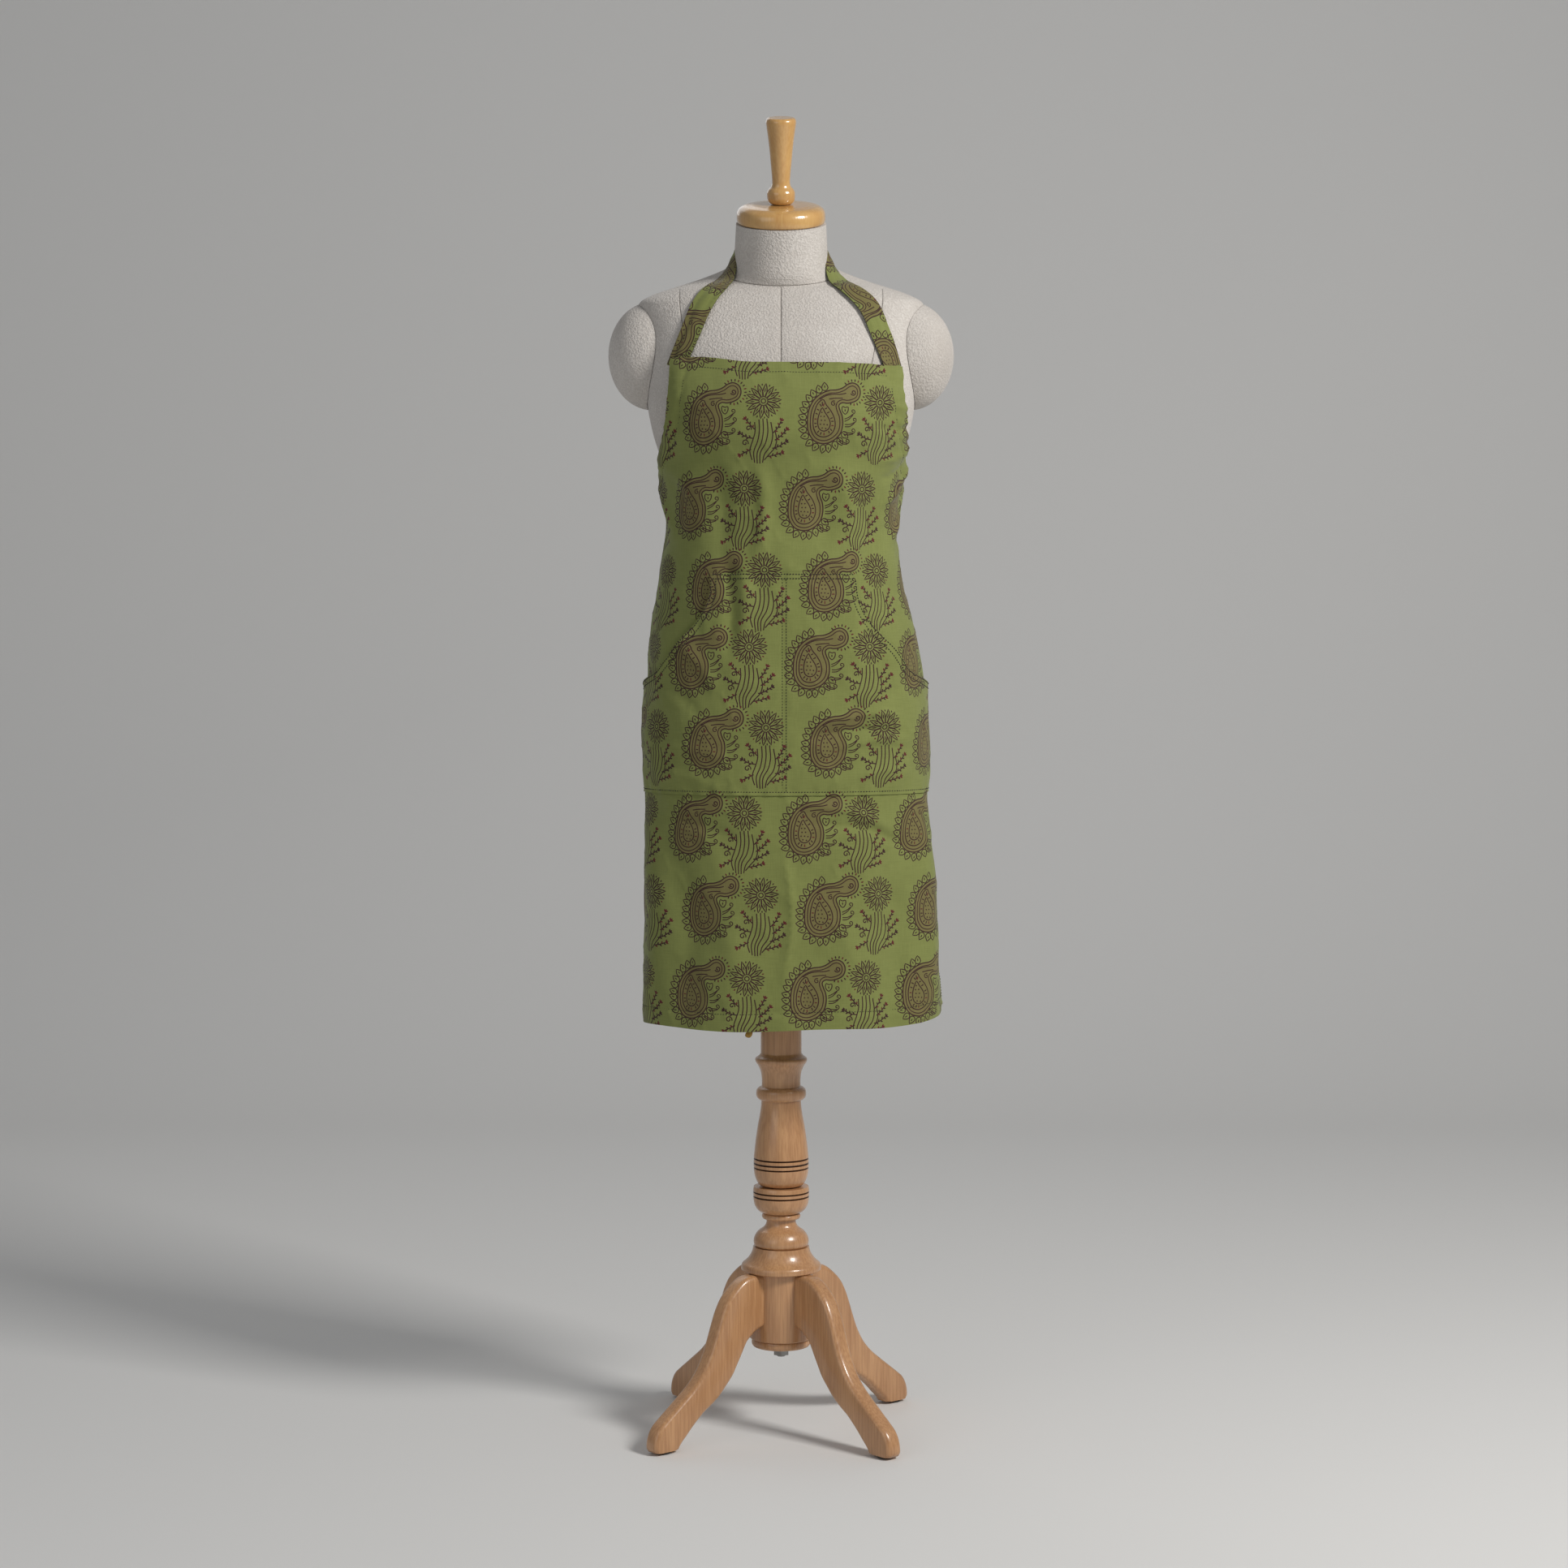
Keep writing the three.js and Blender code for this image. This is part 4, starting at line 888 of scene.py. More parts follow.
def leaf(x: float, y: float, angle: float, length: float, width: float, pen: float) -> Drawing:
    """An outlined pointed leaf with a short mark inside."""
    spread = [(0, 0.0), (0.1, 0.34), (0.32, 0.5), (0.6, 0.42), (0.84, 0.2), (1, 0.0)]
    outline = [(u * length, v * width) for u, v in spread] + [(u * length, -v * width) for u, v in spread[-2:0:-1]]
    c, s = math.cos(math.radians(angle)), math.sin(math.radians(angle))
    placed = np.array([(x + u * c - v * s, y + u * s + v * c) for u, v in outline])
    mark = drop(x + 0.3 * length * c, y + 0.3 * length * s, angle, 0.4 * length, 1.5)
    return stroke(placed, pen, closed=True) + mark


def curl(x: float, y: float, radius: float, start: float, turns: float, pen: float) -> Drawing:
    """A spiral that winds inwards from an angle in degrees."""
    t = np.linspace(0, 1, 14)
    angle = np.radians(start) + t * turns * 2 * math.pi
    reach = radius * (1 - 0.78 * t)
    spiral = np.column_stack([x + reach * np.cos(angle), y + reach * np.sin(angle)])
    return stroke(spiral, pen)


@dataclass(frozen=True)
class Paisley:
    """A teardrop with a curled head, ringed with leaves and tendrils."""

    pen: float = 1.4
    body: tuple = (
        (0, -23), (-11, -20), (-17.5, -11), (-19, 3), (-17, 16), (-12, 26), (-3.5, 33.5), (7, 37.5), (16, 38.5),
        (22.5, 41), (28, 45), (34.5, 46.5), (41, 43), (43.5, 36), (41, 28.5), (34.5, 24.5), (27, 23), (21, 23.5),
        (17.5, 21), (18.5, 15), (21, 9), (22, 1), (19.5, -11), (11, -19.5),
    )
    heart: tuple = ((25, 10.5), (28.5, 15), (28, 19), (24.8, 18), (22, 19.5), (21, 15))
    leaf_count: int = 17
    dash_count: int = 18
    head_middle: tuple[float, float] = (34.8, 35.6)
    ray_count: int = 15
    ray_distance: float = 12.0

    def leaves(self) -> Drawing:
        """The leaves round the left, the foot and the crown."""
        outline = curve_through(self.body, 1.0, closed=True)
        count = len(outline)
        drawing: Drawing = []
        for i in range(self.leaf_count):
            at = int((-0.115 + 0.475 * i / (self.leaf_count - 1)) * count) % count
            way = outline[(at + 2) % count] - outline[at - 2]
            outward = math.degrees(math.atan2(-way[0], way[1])) + 180
            c, s = math.cos(math.radians(outward)), math.sin(math.radians(outward))
            x, y = outline[at] + 1.2 * np.array([c, s])
            drawing += leaf(x, y, outward - 16, 9.6, 7.2, self.pen * 0.85)
        return drawing

    def band(self) -> Drawing:
        """The seed: two inner teardrops with a row of dashes between them, and dots inside."""
        outer = curve_through([(0, -15.5), (-7.5, -13.5), (-11.8, -6), (-12.5, 4), (-10.5, 14), (-6.5, 23), (-1, 27),
                               (2.5, 21), (8, 14), (12, 6), (13, -3), (8.5, -12)], 2.5, closed=True)
        inner = curve_through([(0, -9), (-5, -7), (-7.2, -1), (-6.5, 7), (-4, 14), (-2, 17.5), (1, 12.5),
                               (5, 6.5), (7.4, 0), (5.6, -6)], 2.5, closed=True)
        drawing = stroke(outer, self.pen * 0.9, closed=True) + stroke(inner, self.pen * 0.9, closed=True)
        for i in range(self.dash_count):
            a = outer[int(i * len(outer) / self.dash_count)]
            b = inner[np.argmin(np.linalg.norm(inner - a, axis=1))]
            ink = Ink.RED if i % 5 == 0 else Ink.LINE
            drawing += stroke([a + (b - a) * 0.28, a + (b - a) * 0.75], 1.3, ink)
        for x, y in ((-1.5, -4.5), (1.5, -5), (-3, -1.2), (0, -1.2), (2.8, -1.6), (-2.2, 2.4), (0.8, 2.4),
                     (-2.6, 6), (0.2, 6), (-1.8, 9.6)):
            drawing += drop(x * 1.35, y * 1.25 - 0.8, 90, 2.0, 2.0)
        return drawing

    def head(self) -> Drawing:
        """The curled head with its rays, and the veins of the neck."""
        x, y = self.head_middle
        drawing = curl(x, y, 3.6, 200, 1.3, self.pen)
        for i in range(self.ray_count):
            angle = -104 + i * 17.0
            c, s = math.cos(math.radians(angle)), math.sin(math.radians(angle))
            ink = Ink.RED if i % 3 == 1 else Ink.LINE
            drawing += drop(x + self.ray_distance * c, y + self.ray_distance * s, angle, 3.8, 1.8, ink)
        for line in (((-5, 27), (3, 31.5), (12, 33), (20, 33.2), (26, 34.5)), ((6, 27.5), (14, 28.6), (22, 28.8))):
            drawing += stroke(curve_through(line, 2.6), self.pen * 0.85)
        return drawing + curl(11, 22.4, 3.2, 60, 1.2, self.pen * 0.8)

    def tendrils(self) -> Drawing:
        """The double curls on the right."""
        drawing: Drawing = []
        for base, bend, end in (((24, 5), (29, 7), (34.5, 11)), ((24.5, -1), (30, -1), (36, 1.5)),
                                ((22.5, -9), (28.5, -10.5), (34.5, -10.5)), ((17, -17), (22, -20.5), (28, -22.5))):
            for shift in (0, 2.6):
                line = [(base[0], base[1] - shift), (bend[0], bend[1] - shift * 0.9), (end[0], end[1] - shift * 0.3)]
                drawing += stroke(curve_through(line, 2.6), self.pen * 0.8)
            drawing += curl(end[0] - 0.2, end[1] + 2.8, 2.9, -90, 1.15, self.pen * 0.8)
        return drawing

    def draw(self) -> Drawing:
        """The whole motif about the middle of its bulb."""
        outline = curve_through(self.body, 2.2, closed=True)
        heart = curve_through(self.heart, 1.8, closed=True)
        way = np.roll(outline, -1, axis=0) - np.roll(outline, 1, axis=0)
        way /= np.linalg.norm(way, axis=1, keepdims=True)
        inside = outline + 3.4 * np.column_stack([way[:, 1], -way[:, 0]])
        drawing: Drawing = [(outline, Ink.TONE)] + stroke(outline, self.pen, closed=True)
        drawing += stroke(inside, self.pen * 0.8, closed=True)
        drawing += stroke(heart, self.pen * 0.85, closed=True) + drop(24.8, 13.2, 90, 3.4, 1.6)
        return drawing + self.leaves() + self.band() + self.head() + self.tendrils()


@dataclass(frozen=True)
class FlowerSpray:
    """A round many-petalled flower over a fan of stems and sprigs."""

    pen: float = 1.3
    petals: int = 14
    reach: float = 20.5

    def daisy(self) -> Drawing:
        """The flower."""
        circle = [(2.6 * math.cos(a), 2.6 * math.sin(a)) for a in np.arange(10) * 2 * math.pi / 10]
        drawing = stroke(circle, self.pen, closed=True)
        for i in range(self.petals):
            angle = i * 360 / self.petals + 4
            c, s = math.cos(math.radians(angle)), math.sin(math.radians(angle))
            drawing += leaf(4.6 * c, 4.6 * s, angle, self.reach - 4.6, 4.9, self.pen)
            c, s = math.cos(math.radians(angle + 12.8)), math.sin(math.radians(angle + 12.8))
            drawing += drop(17.5 * c, 17.5 * s, angle + 12.8, 3.0, 1.7, Ink.RED if i % 4 == 0 else Ink.LINE)
        return drawing

    def sprig(self, stem: Sequence[Point], red: bool) -> Drawing:
        """A side stem with pairs of drops and three at its tip."""
        line = curve_through(stem, 2.6)
        drawing = stroke(line, self.pen)
        ink = Ink.RED if red else Ink.LINE
        for k, (point, ahead) in enumerate(zip(line[1:-1:1], np.diff(line, axis=0)[1:])):
            way = math.degrees(math.atan2(ahead[1], ahead[0]))
            side = 48 if k % 2 else -48
            drawing += drop(point[0], point[1], way + side, 3.9, 1.9, ink if k % 3 == 0 else Ink.LINE)
        tip, way = line[-1], math.degrees(math.atan2(*(line[-1] - line[-2])[::-1]))
        for turn in (-38, 0, 38):
            drawing += drop(tip[0], tip[1], way + turn, 4.4, 2.1, ink)
        return drawing

    def draw(self) -> Drawing:
        """The whole motif about the flower's middle."""
        drawing = self.daisy()
        for stem in (((-7, -70), (-7, -58), (-2, -46), (0, -34), (-0.5, -20)),
                     ((-4, -70), (-3.5, -58), (2.5, -47), (5, -36), (4, -20)),
                     ((-10, -69), (-11, -57), (-6.5, -45), (-4.5, -34), (-5, -21)),
                     ((-1, -69), (1, -60), (8, -50), (10.5, -40), (8.5, -24)),
                     ((-13, -66), (-15.5, -56), (-12, -44), (-9.5, -35), (-10, -24)),
                     ((1, -66), (7, -59), (13, -52), (15, -44), (13, -33))):
            drawing += stroke(curve_through(stem, 3.0), self.pen)
        drawing += curl(-21, -47, 4.0, -20, 1.2, self.pen) + curl(-17, -31, 3.4, -30, 1.15, self.pen)
        for stem, red in ((((11, -36), (16, -31), (20, -23)), True), (((13, -44), (19, -40), (26, -33)), True),
                          (((10, -53), (17, -51), (25, -46)), False), (((4, -62), (11, -61), (20, -58)), True),
                          (((-14, -54), (-20, -57), (-26, -60)), True), (((-12, -42), (-18, -41), (-26, -37)), False),
                          (((-10, -32), (-15, -27), (-20, -21)), True)):
            drawing += self.sprig(stem, red)
        return drawing


@dataclass
class PrintLayout:
    """Rows of paisleys and flowers by turns over the flat cloth."""

    rows: tuple = ((486, 32), (391, 49), (293, 27), (200, 50), (112, 33), (20, 52), (-78, 27), (-172, 46), (-268, 30))
    repeat: float = 138.0
    flower_rise: float = 25.0
    paisley: Drawing = field(default_factory=lambda: Paisley().draw())
    flower: Drawing = field(default_factory=lambda: FlowerSpray().draw())

    def within(self, low: Point, high: Point, hidden: Callable[[float, float], bool] | None = None) -> Drawing:
        """The printed shapes inside a box of flat cloth.

        Args:
            low: lowest corner.
            high: highest corner.
            hidden: tells which places never show, so that their print is left out.

        Returns:
            Outlines with their inks.
        """
        drawing: Drawing = []
        for height, first in self.rows:
            for k in range(-4, 5):
                for motif, x, y in ((self.paisley, first + k * self.repeat, height),
                                    (self.flower, first + (k + 0.5) * self.repeat, height + self.flower_rise)):
                    if x < low[0] - 60 or x > high[0] + 60 or y < low[1] - 60 or y > high[1] + 90:
                        continue
                    for outline, ink in motif:
                        placed = outline + (x, y)
                        small, large = placed.min(axis=0), placed.max(axis=0)
                        if (large < low).any() or (small > high).any():
                            continue
                        corners = [(x, y) for x in (small[0], large[0]) for y in (small[1], large[1])]
                        if hidden is not None and all(hidden(x, y) for x, y in corners):
                            continue
                        drawing.append((placed, ink))
        return drawing


@dataclass
class PrintedCloth:
    """Cuts a flat outline, prints it and lays it on a surface with a real thickness."""

    outline: Array
    surface: SurfaceTable
    thickness: float = 1.0
    spacing: float = 5.0
    offset: float = 0.0

    def rest_points(self) -> Array:
        """Even points inside the outline, so that the cloth can bend between its prints."""
        low, high = self.outline.min(axis=0), self.outline.max(axis=0)
        gap = self.spacing
        across = np.arange(low[0] + gap / 2, high[0], gap)
        along = np.arange(low[1] + gap / 2, high[1], gap)
        a, b = np.meshgrid(across, along)
        a = a + np.where((np.arange(len(along)) % 2)[:, None], gap / 2, 0)
        points = np.column_stack([a.ravel(), b.ravel()])
        x, y = points.T
        inside = np.zeros(len(points), bool)
        for (x0, y0), (x1, y1) in zip(self.outline, np.roll(self.outline, -1, axis=0)):
            crossing = (y0 > y) != (y1 > y)
            inside ^= crossing & (x < (x1 - x0) * (y - y0) / (y1 - y0 + 1e-12) + x0)
        return points[inside]

    def shape(self, drawing: Drawing) -> Shape:
        """The finished cloth.

        Args:
            drawing: printed shapes in flat coordinates; a later one lies over an earlier one.

        Returns:
            The closed shape with its material places, normals and flat coordinates.
        """
        order = sorted(drawing, key=lambda item: item[1] != Ink.TONE)
        polygons = [self.outline] + [outline for outline, _ in order]
        polygons = [polygon if signed_area(polygon) > 0 else polygon[::-1] for polygon in polygons]
        inks = np.array([Ink.GROUND] + [ink for _, ink in order])
        starts = np.cumsum([0] + [len(polygon) for polygon in polygons])
        faces = [list(range(start, start + len(polygon))) for start, polygon in zip(starts, polygons)]
        flat = np.vstack([*polygons, self.rest_points()])
        result = delaunay_2d_cdt([Vector(point) for point in flat.tolist()], [], faces, 1, 1e-4, True)
        corners, slots = [], []
        for triangle, origins in zip(result[2], result[5]):
            if 0 in origins:
                corners.append(triangle)
                slots.append(max(int(inks[i]) if inks[i] != Ink.TONE else 0.5 for i in origins))
        slots = np.array([Ink.TONE if s == 0.5 else s for s in slots], int)
        triangles = np.array(corners, int)
        points = np.array([tuple(v) for v in result[0]], float)
        used, triangles = np.unique(triangles, return_inverse=True)
        triangles, points = triangles.reshape(-1, 3), points[used]
        outer, normal = self.surface.place(points[:, 0], points[:, 1], self.offset)
        inner = outer - normal * self.thickness
        count = len(points)
        edges = np.vstack([triangles[:, [0, 1]], triangles[:, [1, 2]], triangles[:, [2, 0]]])
        keys = {(int(a), int(b)) for a, b in edges}
        rim = [(a, b) for a, b in keys if (b, a) not in keys]
        sides = [(a, a + count, b + count, b) for a, b in rim]
        faces = triangles.tolist() + (triangles[:, ::-1] + count).tolist() + sides
        slots = np.concatenate([slots, slots, np.zeros(len(sides), int)])
        flat = np.column_stack([points, np.zeros(count)])
        return Shape(np.vstack([outer, inner]), faces, slots, np.vstack([normal, -normal]), np.vstack([flat, flat]))


# ---------------------------------------------------------------- apron
@dataclass
class Apron:
    """The apron: printed panel, pocket, casings, neck strap, waist ties, bow and stitching."""

    form: DressForm
    # height over the form's lower edge, ease on the left, right, front and back
    ease_rows: tuple = (
        (-303, 14.5, 43, 23, 12), (-202, 14.5, 37, 20, 12), (-105, 13.5, 30, 18, 10), (-40, 11.5, 26, 16, 9),
        (31, 8, 20.5, 12, 8), (96, 6.5, 16, 10, 8), (145, 8, 13.5, 11, 8), (177, 7.5, 11, 13, 7),
        (210, 8, 7.5, 14.5, 7), (258, 10.5, 8.5, 15.5, 6), (291, 10, 8.5, 16, 6), (323, 8.5, 8.5, 15, 6),
        (356, 8, 8.5, 11, 6), (385, 8, 8, 8, 6), (420, 8, 8, 8, 6), (470, 8, 8, 8, 6),
    )
    # height, left edge and right edge along the cloth
    armhole: tuple = (
        (463, -131, 150), (420, -141, 158), (385, -151, 172), (370, -162, 181), (356, -176, 192),
        (340, -192, 208), (325, -214, 226), (312, -236, 244), (300, -258, 262), (291, -273, 275), (286, -285, 285),
    )
    mouth: tuple = (
        (222, -82, 88), (185, -87, 93), (165, -100, 105), (151, -112, 117), (137, -126, 131), (123, -139, 144),
        (110, -155, 161), (103, -177, 183), (98, -200, 206), (94, -226, 232), (91, -254, 260), (90, -281, 281),
    )
    hem: float = -303.0
    half_width: float = 285.0
    pocket_bottom: float = -33.0
    pocket_half: float = 281.0
    hem_depth: float = 20.0
    casing_width: float = 25.0
    strap_width: float = 26.0
    tie_width: float = 22.0
    tie_height: float = 292.0
    knot_size: tuple = (12.0, 8.0, 13.0)
    strap_route: tuple = (
        (10.95, -46), (12, -36), (13, -29.5), (14.2, -27.5), (15.4, -31), (16.4, -39), (17.4, -54), (18.4, -74),
        (19, -97), (19.3, -130), (19.4, -180), (19.3, -230), (19, -263), (18.4, -286), (17.4, -305.5),
        (16.4, -320), (15.4, -327.5), (14.2, -330), (13, -326.5), (12, -319), (10.95, -309.5),
    )
    folds: tuple = (
        # soft fall from the bust to the pocket
        Fold((-64, 232), (-60, 132), 9, -3.2), Fold((-44, 232), (-44, 150), 10, 2.4),
        Fold((-24, 340), (-27, 236), 9, 3.0), Fold((-75, 345), (-72, 240), 13, -2.6),
        Fold((34, 330), (52, 250), 14, -2.0), Fold((62, 345), (84, 262), 11, 2.0),
        Fold((-120, 345), (-100, 262), 15, 1.8), Fold((110, 300), (96, 205), 13, -2.4),
        # drag lines from the right casing
        Fold((206, 348), (136, 306), 5.5, 2.6), Fold((198, 360), (124, 330), 4.5, -2.2),
        Fold((188, 370), (118, 350), 4.5, 2.2), Fold((176, 392), (120, 388), 4.5, -1.6),
        Fold((168, 410), (118, 420), 5, 1.5), Fold((226, 330), (150, 262), 6, 2.6),
        Fold((238, 322), (168, 246), 6, -2.4), Fold((160, 436), (112, 452), 5, -1.4),
        # smoother pull on the left
        Fold((-178, 352), (-110, 318), 9, 1.8), Fold((-214, 326), (-140, 272), 10, 2.2),
        Fold((-232, 318), (-168, 252), 9, -2.0), Fold((-140, 396), (-92, 404), 8, -1.3),
        # pressed centre crease under the pocket
        Fold((4.6, -108), (4.6, -236), 7, 3.0, True), Fold((4.6, -230), (5, -300), 12, 1.4),
        # sitting creases across the pocket and below it
        Fold((40, 46), (134, 60), 4.5, 2.6), Fold((36, 32), (140, 40), 4.5, -2.4),
        Fold((52, 18), (150, 30), 5, 2.2), Fold((28, -44), (132, -72), 6, 2.3), Fold((44, -66), (150, -92), 6, -2.0),
        Fold((-150, 20), (-60, 8), 7, 1.1), Fold((-140, -62), (-52, -84), 8, -1.2),
        # flare of the skirt
        Fold((-168, -80), (-176, -300), 24, 4.5), Fold((-118, -110), (-122, -300), 20, -3.0),
        Fold((176, -60), (186, -300), 24, 5.0), Fold((124, -110), (130, -300), 20, -3.2),
        Fold((66, -170), (72, -300), 18, 2.2), Fold((-60, -170), (-64, -300), 18, 2.0),
        Fold((236, -20), (248, -300), 20, -4.0), Fold((-232, -20), (-240, -300), 20, -3.6),
    )

    def __post_init__(self) -> None:
        """Works out the surfaces that the cloth follows."""
        self.layout = PrintLayout()
        self.base = self.section_table()
        u, h = np.meshgrid(self.base.across, self.base.along)
        self.u, self.h = u, h
        self.panel_lift = self.panel_depth(u, h)
        self.front = self.base.displaced(self.panel_lift)

    def section_table(self) -> SurfaceTable:
        """The smooth surface about the form that the hanging cloth follows."""
        heights = np.arange(-326.0, 480.1, 2.0)
        across = np.arange(-440.0, 440.1, 2.0)
        slack = smooth_rows(self.ease_rows, heights)
        form_rows = [(row[1], *row[4:7]) for row in self.form.rings[:14]]
        size = smooth_rows(form_rows, np.maximum(heights, 0))
        angles = np.linspace(-math.pi, math.pi, 721)
        side, ahead = np.sin(angles), np.cos(angles)
        rows = []
        for height, (left, right, front, back), (width, before, behind) in zip(heights, slack, size):
            power = 2 / 2.3
            x = np.sign(side) * np.where(side > 0, width + right, width + left) * np.abs(side) ** power
            y = -np.sign(ahead) * np.where(ahead > 0, before + front, behind + back) * np.abs(ahead) ** power
            along = np.concatenate([[0], np.cumsum(np.hypot(np.diff(x), np.diff(y)))])
            along -= along[360]
            rows.append(np.column_stack([np.interp(across, along, x), np.interp(across, along, y),
                                         np.full(across.shape, FORM_BOTTOM + height)]))
        return SurfaceTable(across, heights, np.array(rows))

    def edge_distance(self, u: Array, h: Array, table: Sequence[Point]) -> Array:
        """Distance from flat places to a curved edge given as rows of height, left and right."""
        distance = np.full(u.shape, 1e3)
        for column in (1, 2):
            line = curve_through([(row[column], row[0]) for row in table], 4.0)
            near = (u > line[:, 0].min() - 45) & (u < line[:, 0].max() + 45)
            near &= (h > line[:, 1].min() - 45) & (h < line[:, 1].max() + 45)
            places = np.column_stack([u[near], h[near]])
            gaps = [np.linalg.norm(places - point, axis=1) for point in line]
            distance[near] = np.minimum(distance[near], np.min(gaps, axis=0))
        return distance

    def panel_depth(self, u: Array, h: Array) -> Array:
        """How far the panel stands off its smooth surface."""
        depth = 1.45 * folded(self.folds, u, h)
        broad, middle, fine = Unevenness(3, 46), Unevenness(5, 19), Unevenness(8, 9)
        skewed = u * 0.9 + h * 0.35
        depth += 1.5 * broad(u, h) + 0.8 * middle(skewed, h * 0.7) + 0.22 * fine(u, h)
        creases = np.abs(Unevenness(12, 30)(u * 0.8 + h * 0.5, h * 0.8 - u * 0.4))
        depth += 0.8 * np.exp(-creases / 0.05)
        edge = self.edge_distance(u, h, self.armhole)
        gather = np.where(u > 0, 1.0, 0.42) * ease(h, 285, 322) * (1 - 0.5 * ease(h, 400, 440))
        ripple = np.sin((h * 0.95 - np.abs(u) * 0.42) / 2.0 + 3.0 * middle(u, h))
        depth += 1.0 * gather * ripple * np.exp(-((edge / 17) ** 2))
        depth += 1.1 * np.exp(-(((edge - 10) / 8) ** 2)) - 0.9 * np.exp(-(((edge - 20) / 2.2) ** 2))
        above = h - self.hem
        depth += 0.6 * (1 - ease(above, 17, 20)) - 0.5 * np.exp(-(((above - 20) / 2.0) ** 2))
        pucker = 0.3 * np.sin(u / 2.6 + 2 * fine(u, h)) * np.exp(-(((above - 20) / 7) ** 2))
        side = self.half_width - np.abs(u)
        depth += np.where(h < 280, 0.5 * (1 - ease(side, 8, 11)), 0) + pucker
        seam = self.pocket_bottom
        depth += 0.3 * np.sin(u / 3.1) * np.exp(-(((h - seam) / 6) ** 2))
        floor = np.where(h > 0, -5.0, -14.0)
        return np.maximum(depth, floor)

    def pocket_depth(self, u: Array, h: Array) -> Array:
        """How far the pocket stands off the panel's smooth surface."""
        top = np.interp(np.abs(u), *np.array([(abs(row[2]), row[0]) for row in self.mouth]).T)
        top = np.where(np.abs(u) < 88, self.mouth[0][0], top)
        share = np.clip((h - self.pocket_bottom) / (top - self.pocket_bottom), 0, 1)
        lift = 3.6 * np.abs(np.sin(math.pi * u / self.pocket_half)) * np.sin(math.pi * share)
        lift += 5.0 * np.exp(-(((u - 130) / 22) ** 2) - ((h - 128) / 20) ** 2)
        lift += 3.4 * np.exp(-(((u + 116) / 18) ** 2) - ((h - 140) / 20) ** 2)
        own = folded((Fold((96, 128), (52, 92), 7, 1.6), Fold((150, 96), (84, 70), 7, -1.4),
                      Fold((-112, 132), (-74, 88), 8, 1.5), Fold((-150, 96), (-96, 62), 8, -1.3),
                      Fold((64, -18), (150, -6), 6, 1.2), Fold((-160, -14), (-80, -20), 6, 1.0)), u, h)
        middle, fine = Unevenness(21, 17), Unevenness(23, 8)
        edge = self.edge_distance(u, h, self.mouth)
        lift += 2.4 * np.exp(-((edge / 10) ** 2)) * ease(np.abs(u), 92, 120) * (1 - ease(np.abs(u), 200, 270))
        depth = self.panel_lift + 1.5 + 1.2 * ease(h, -30, -10) + np.maximum(lift + 1.4 * own, 0)
        depth = depth + 0.35 * middle(u, h) + 0.12 * fine(u, h)
        depth -= 0.5 * np.exp(-(((edge - 7) / 1.8) ** 2))
        above = h - self.pocket_bottom
        depth -= 0.45 * np.exp(-(((above - 4) / 2.0) ** 2))
        depth += 0.35 * np.sin(u / 3.1 + 2 * fine(u, h)) * np.exp(-(((above - 6) / 9) ** 2))
        return depth - 0.5 * np.exp(-(((u - 3) / 2.2) ** 2)) * ease(h, -30, -20)

    def drooped(self, outline: Array) -> Array:
        """Moves the bib's top edge and the hem to their real slightly uneven lines."""
        u, h = outline[:, 0], outline[:, 1]
        top = 6.0 * (1 - ease(u, -100, -30)) - 3.0 * ease(u, 40, 150)
        top = top - 1.0 * np.sin(math.pi * np.clip((u + 90) / 240, 0, 1))
        low = -3.0 * (1 - ease(u, -250, -120)) + 15.0 * ease(u, 90, 285) + 1.6 * np.sin(u / 38)
        shift = np.where(h > 440, top * ease(h, 440, 463), 0)
        shift = shift + np.where(h < -250, low * (1 - ease(h, self.hem, -250)), 0)
        return np.column_stack([u, h + shift])

    def dense(self, corners: Sequence[Array], step: float = 3.0) -> Array:
        """A closed outline from runs of points, evenly filled."""
        line = np.vstack(corners)
        result = []
        for a, b in zip(line, np.roll(line, -1, axis=0)):
            count = max(1, int(np.linalg.norm(b - a) / step))
            result += [a + (b - a) * k / count for k in range(count)]
        return np.array(result)

    def side_curve(self, table: Sequence[Point], column: int) -> Array:
        """One curved edge of the cloth, from its first row down."""
        return curve_through([(row[column], row[0]) for row in table], 4.0)

    def panel_outline(self) -> Array:
        """The panel's cut edge."""
        width = self.half_width
        left, right = self.side_curve(self.armhole, 1), self.side_curve(self.armhole, 2)
        return self.drooped(self.dense([np.array([[-width, self.hem], [width, self.hem]]), right[::-1], left]))

    def pocket_outline(self) -> Array:
        """The pocket's cut edge."""
        width = self.pocket_half
        left, right = self.side_curve(self.mouth, 1), self.side_curve(self.mouth, 2)
        return self.dense([np.array([[-width, self.pocket_bottom], [width, self.pocket_bottom]]), right[::-1], left])

    def behind_pocket(self, x: float, y: float) -> bool:
        """Whether print at a flat place of the panel can never be seen."""
        if y < self.pocket_bottom + 4 or y > self.mouth[0][0] - 4:
            return False
        edge = float(np.interp(-y, [-row[0] for row in self.mouth], [row[2] for row in self.mouth]))
        return abs(x) < edge - 26 and y < 216

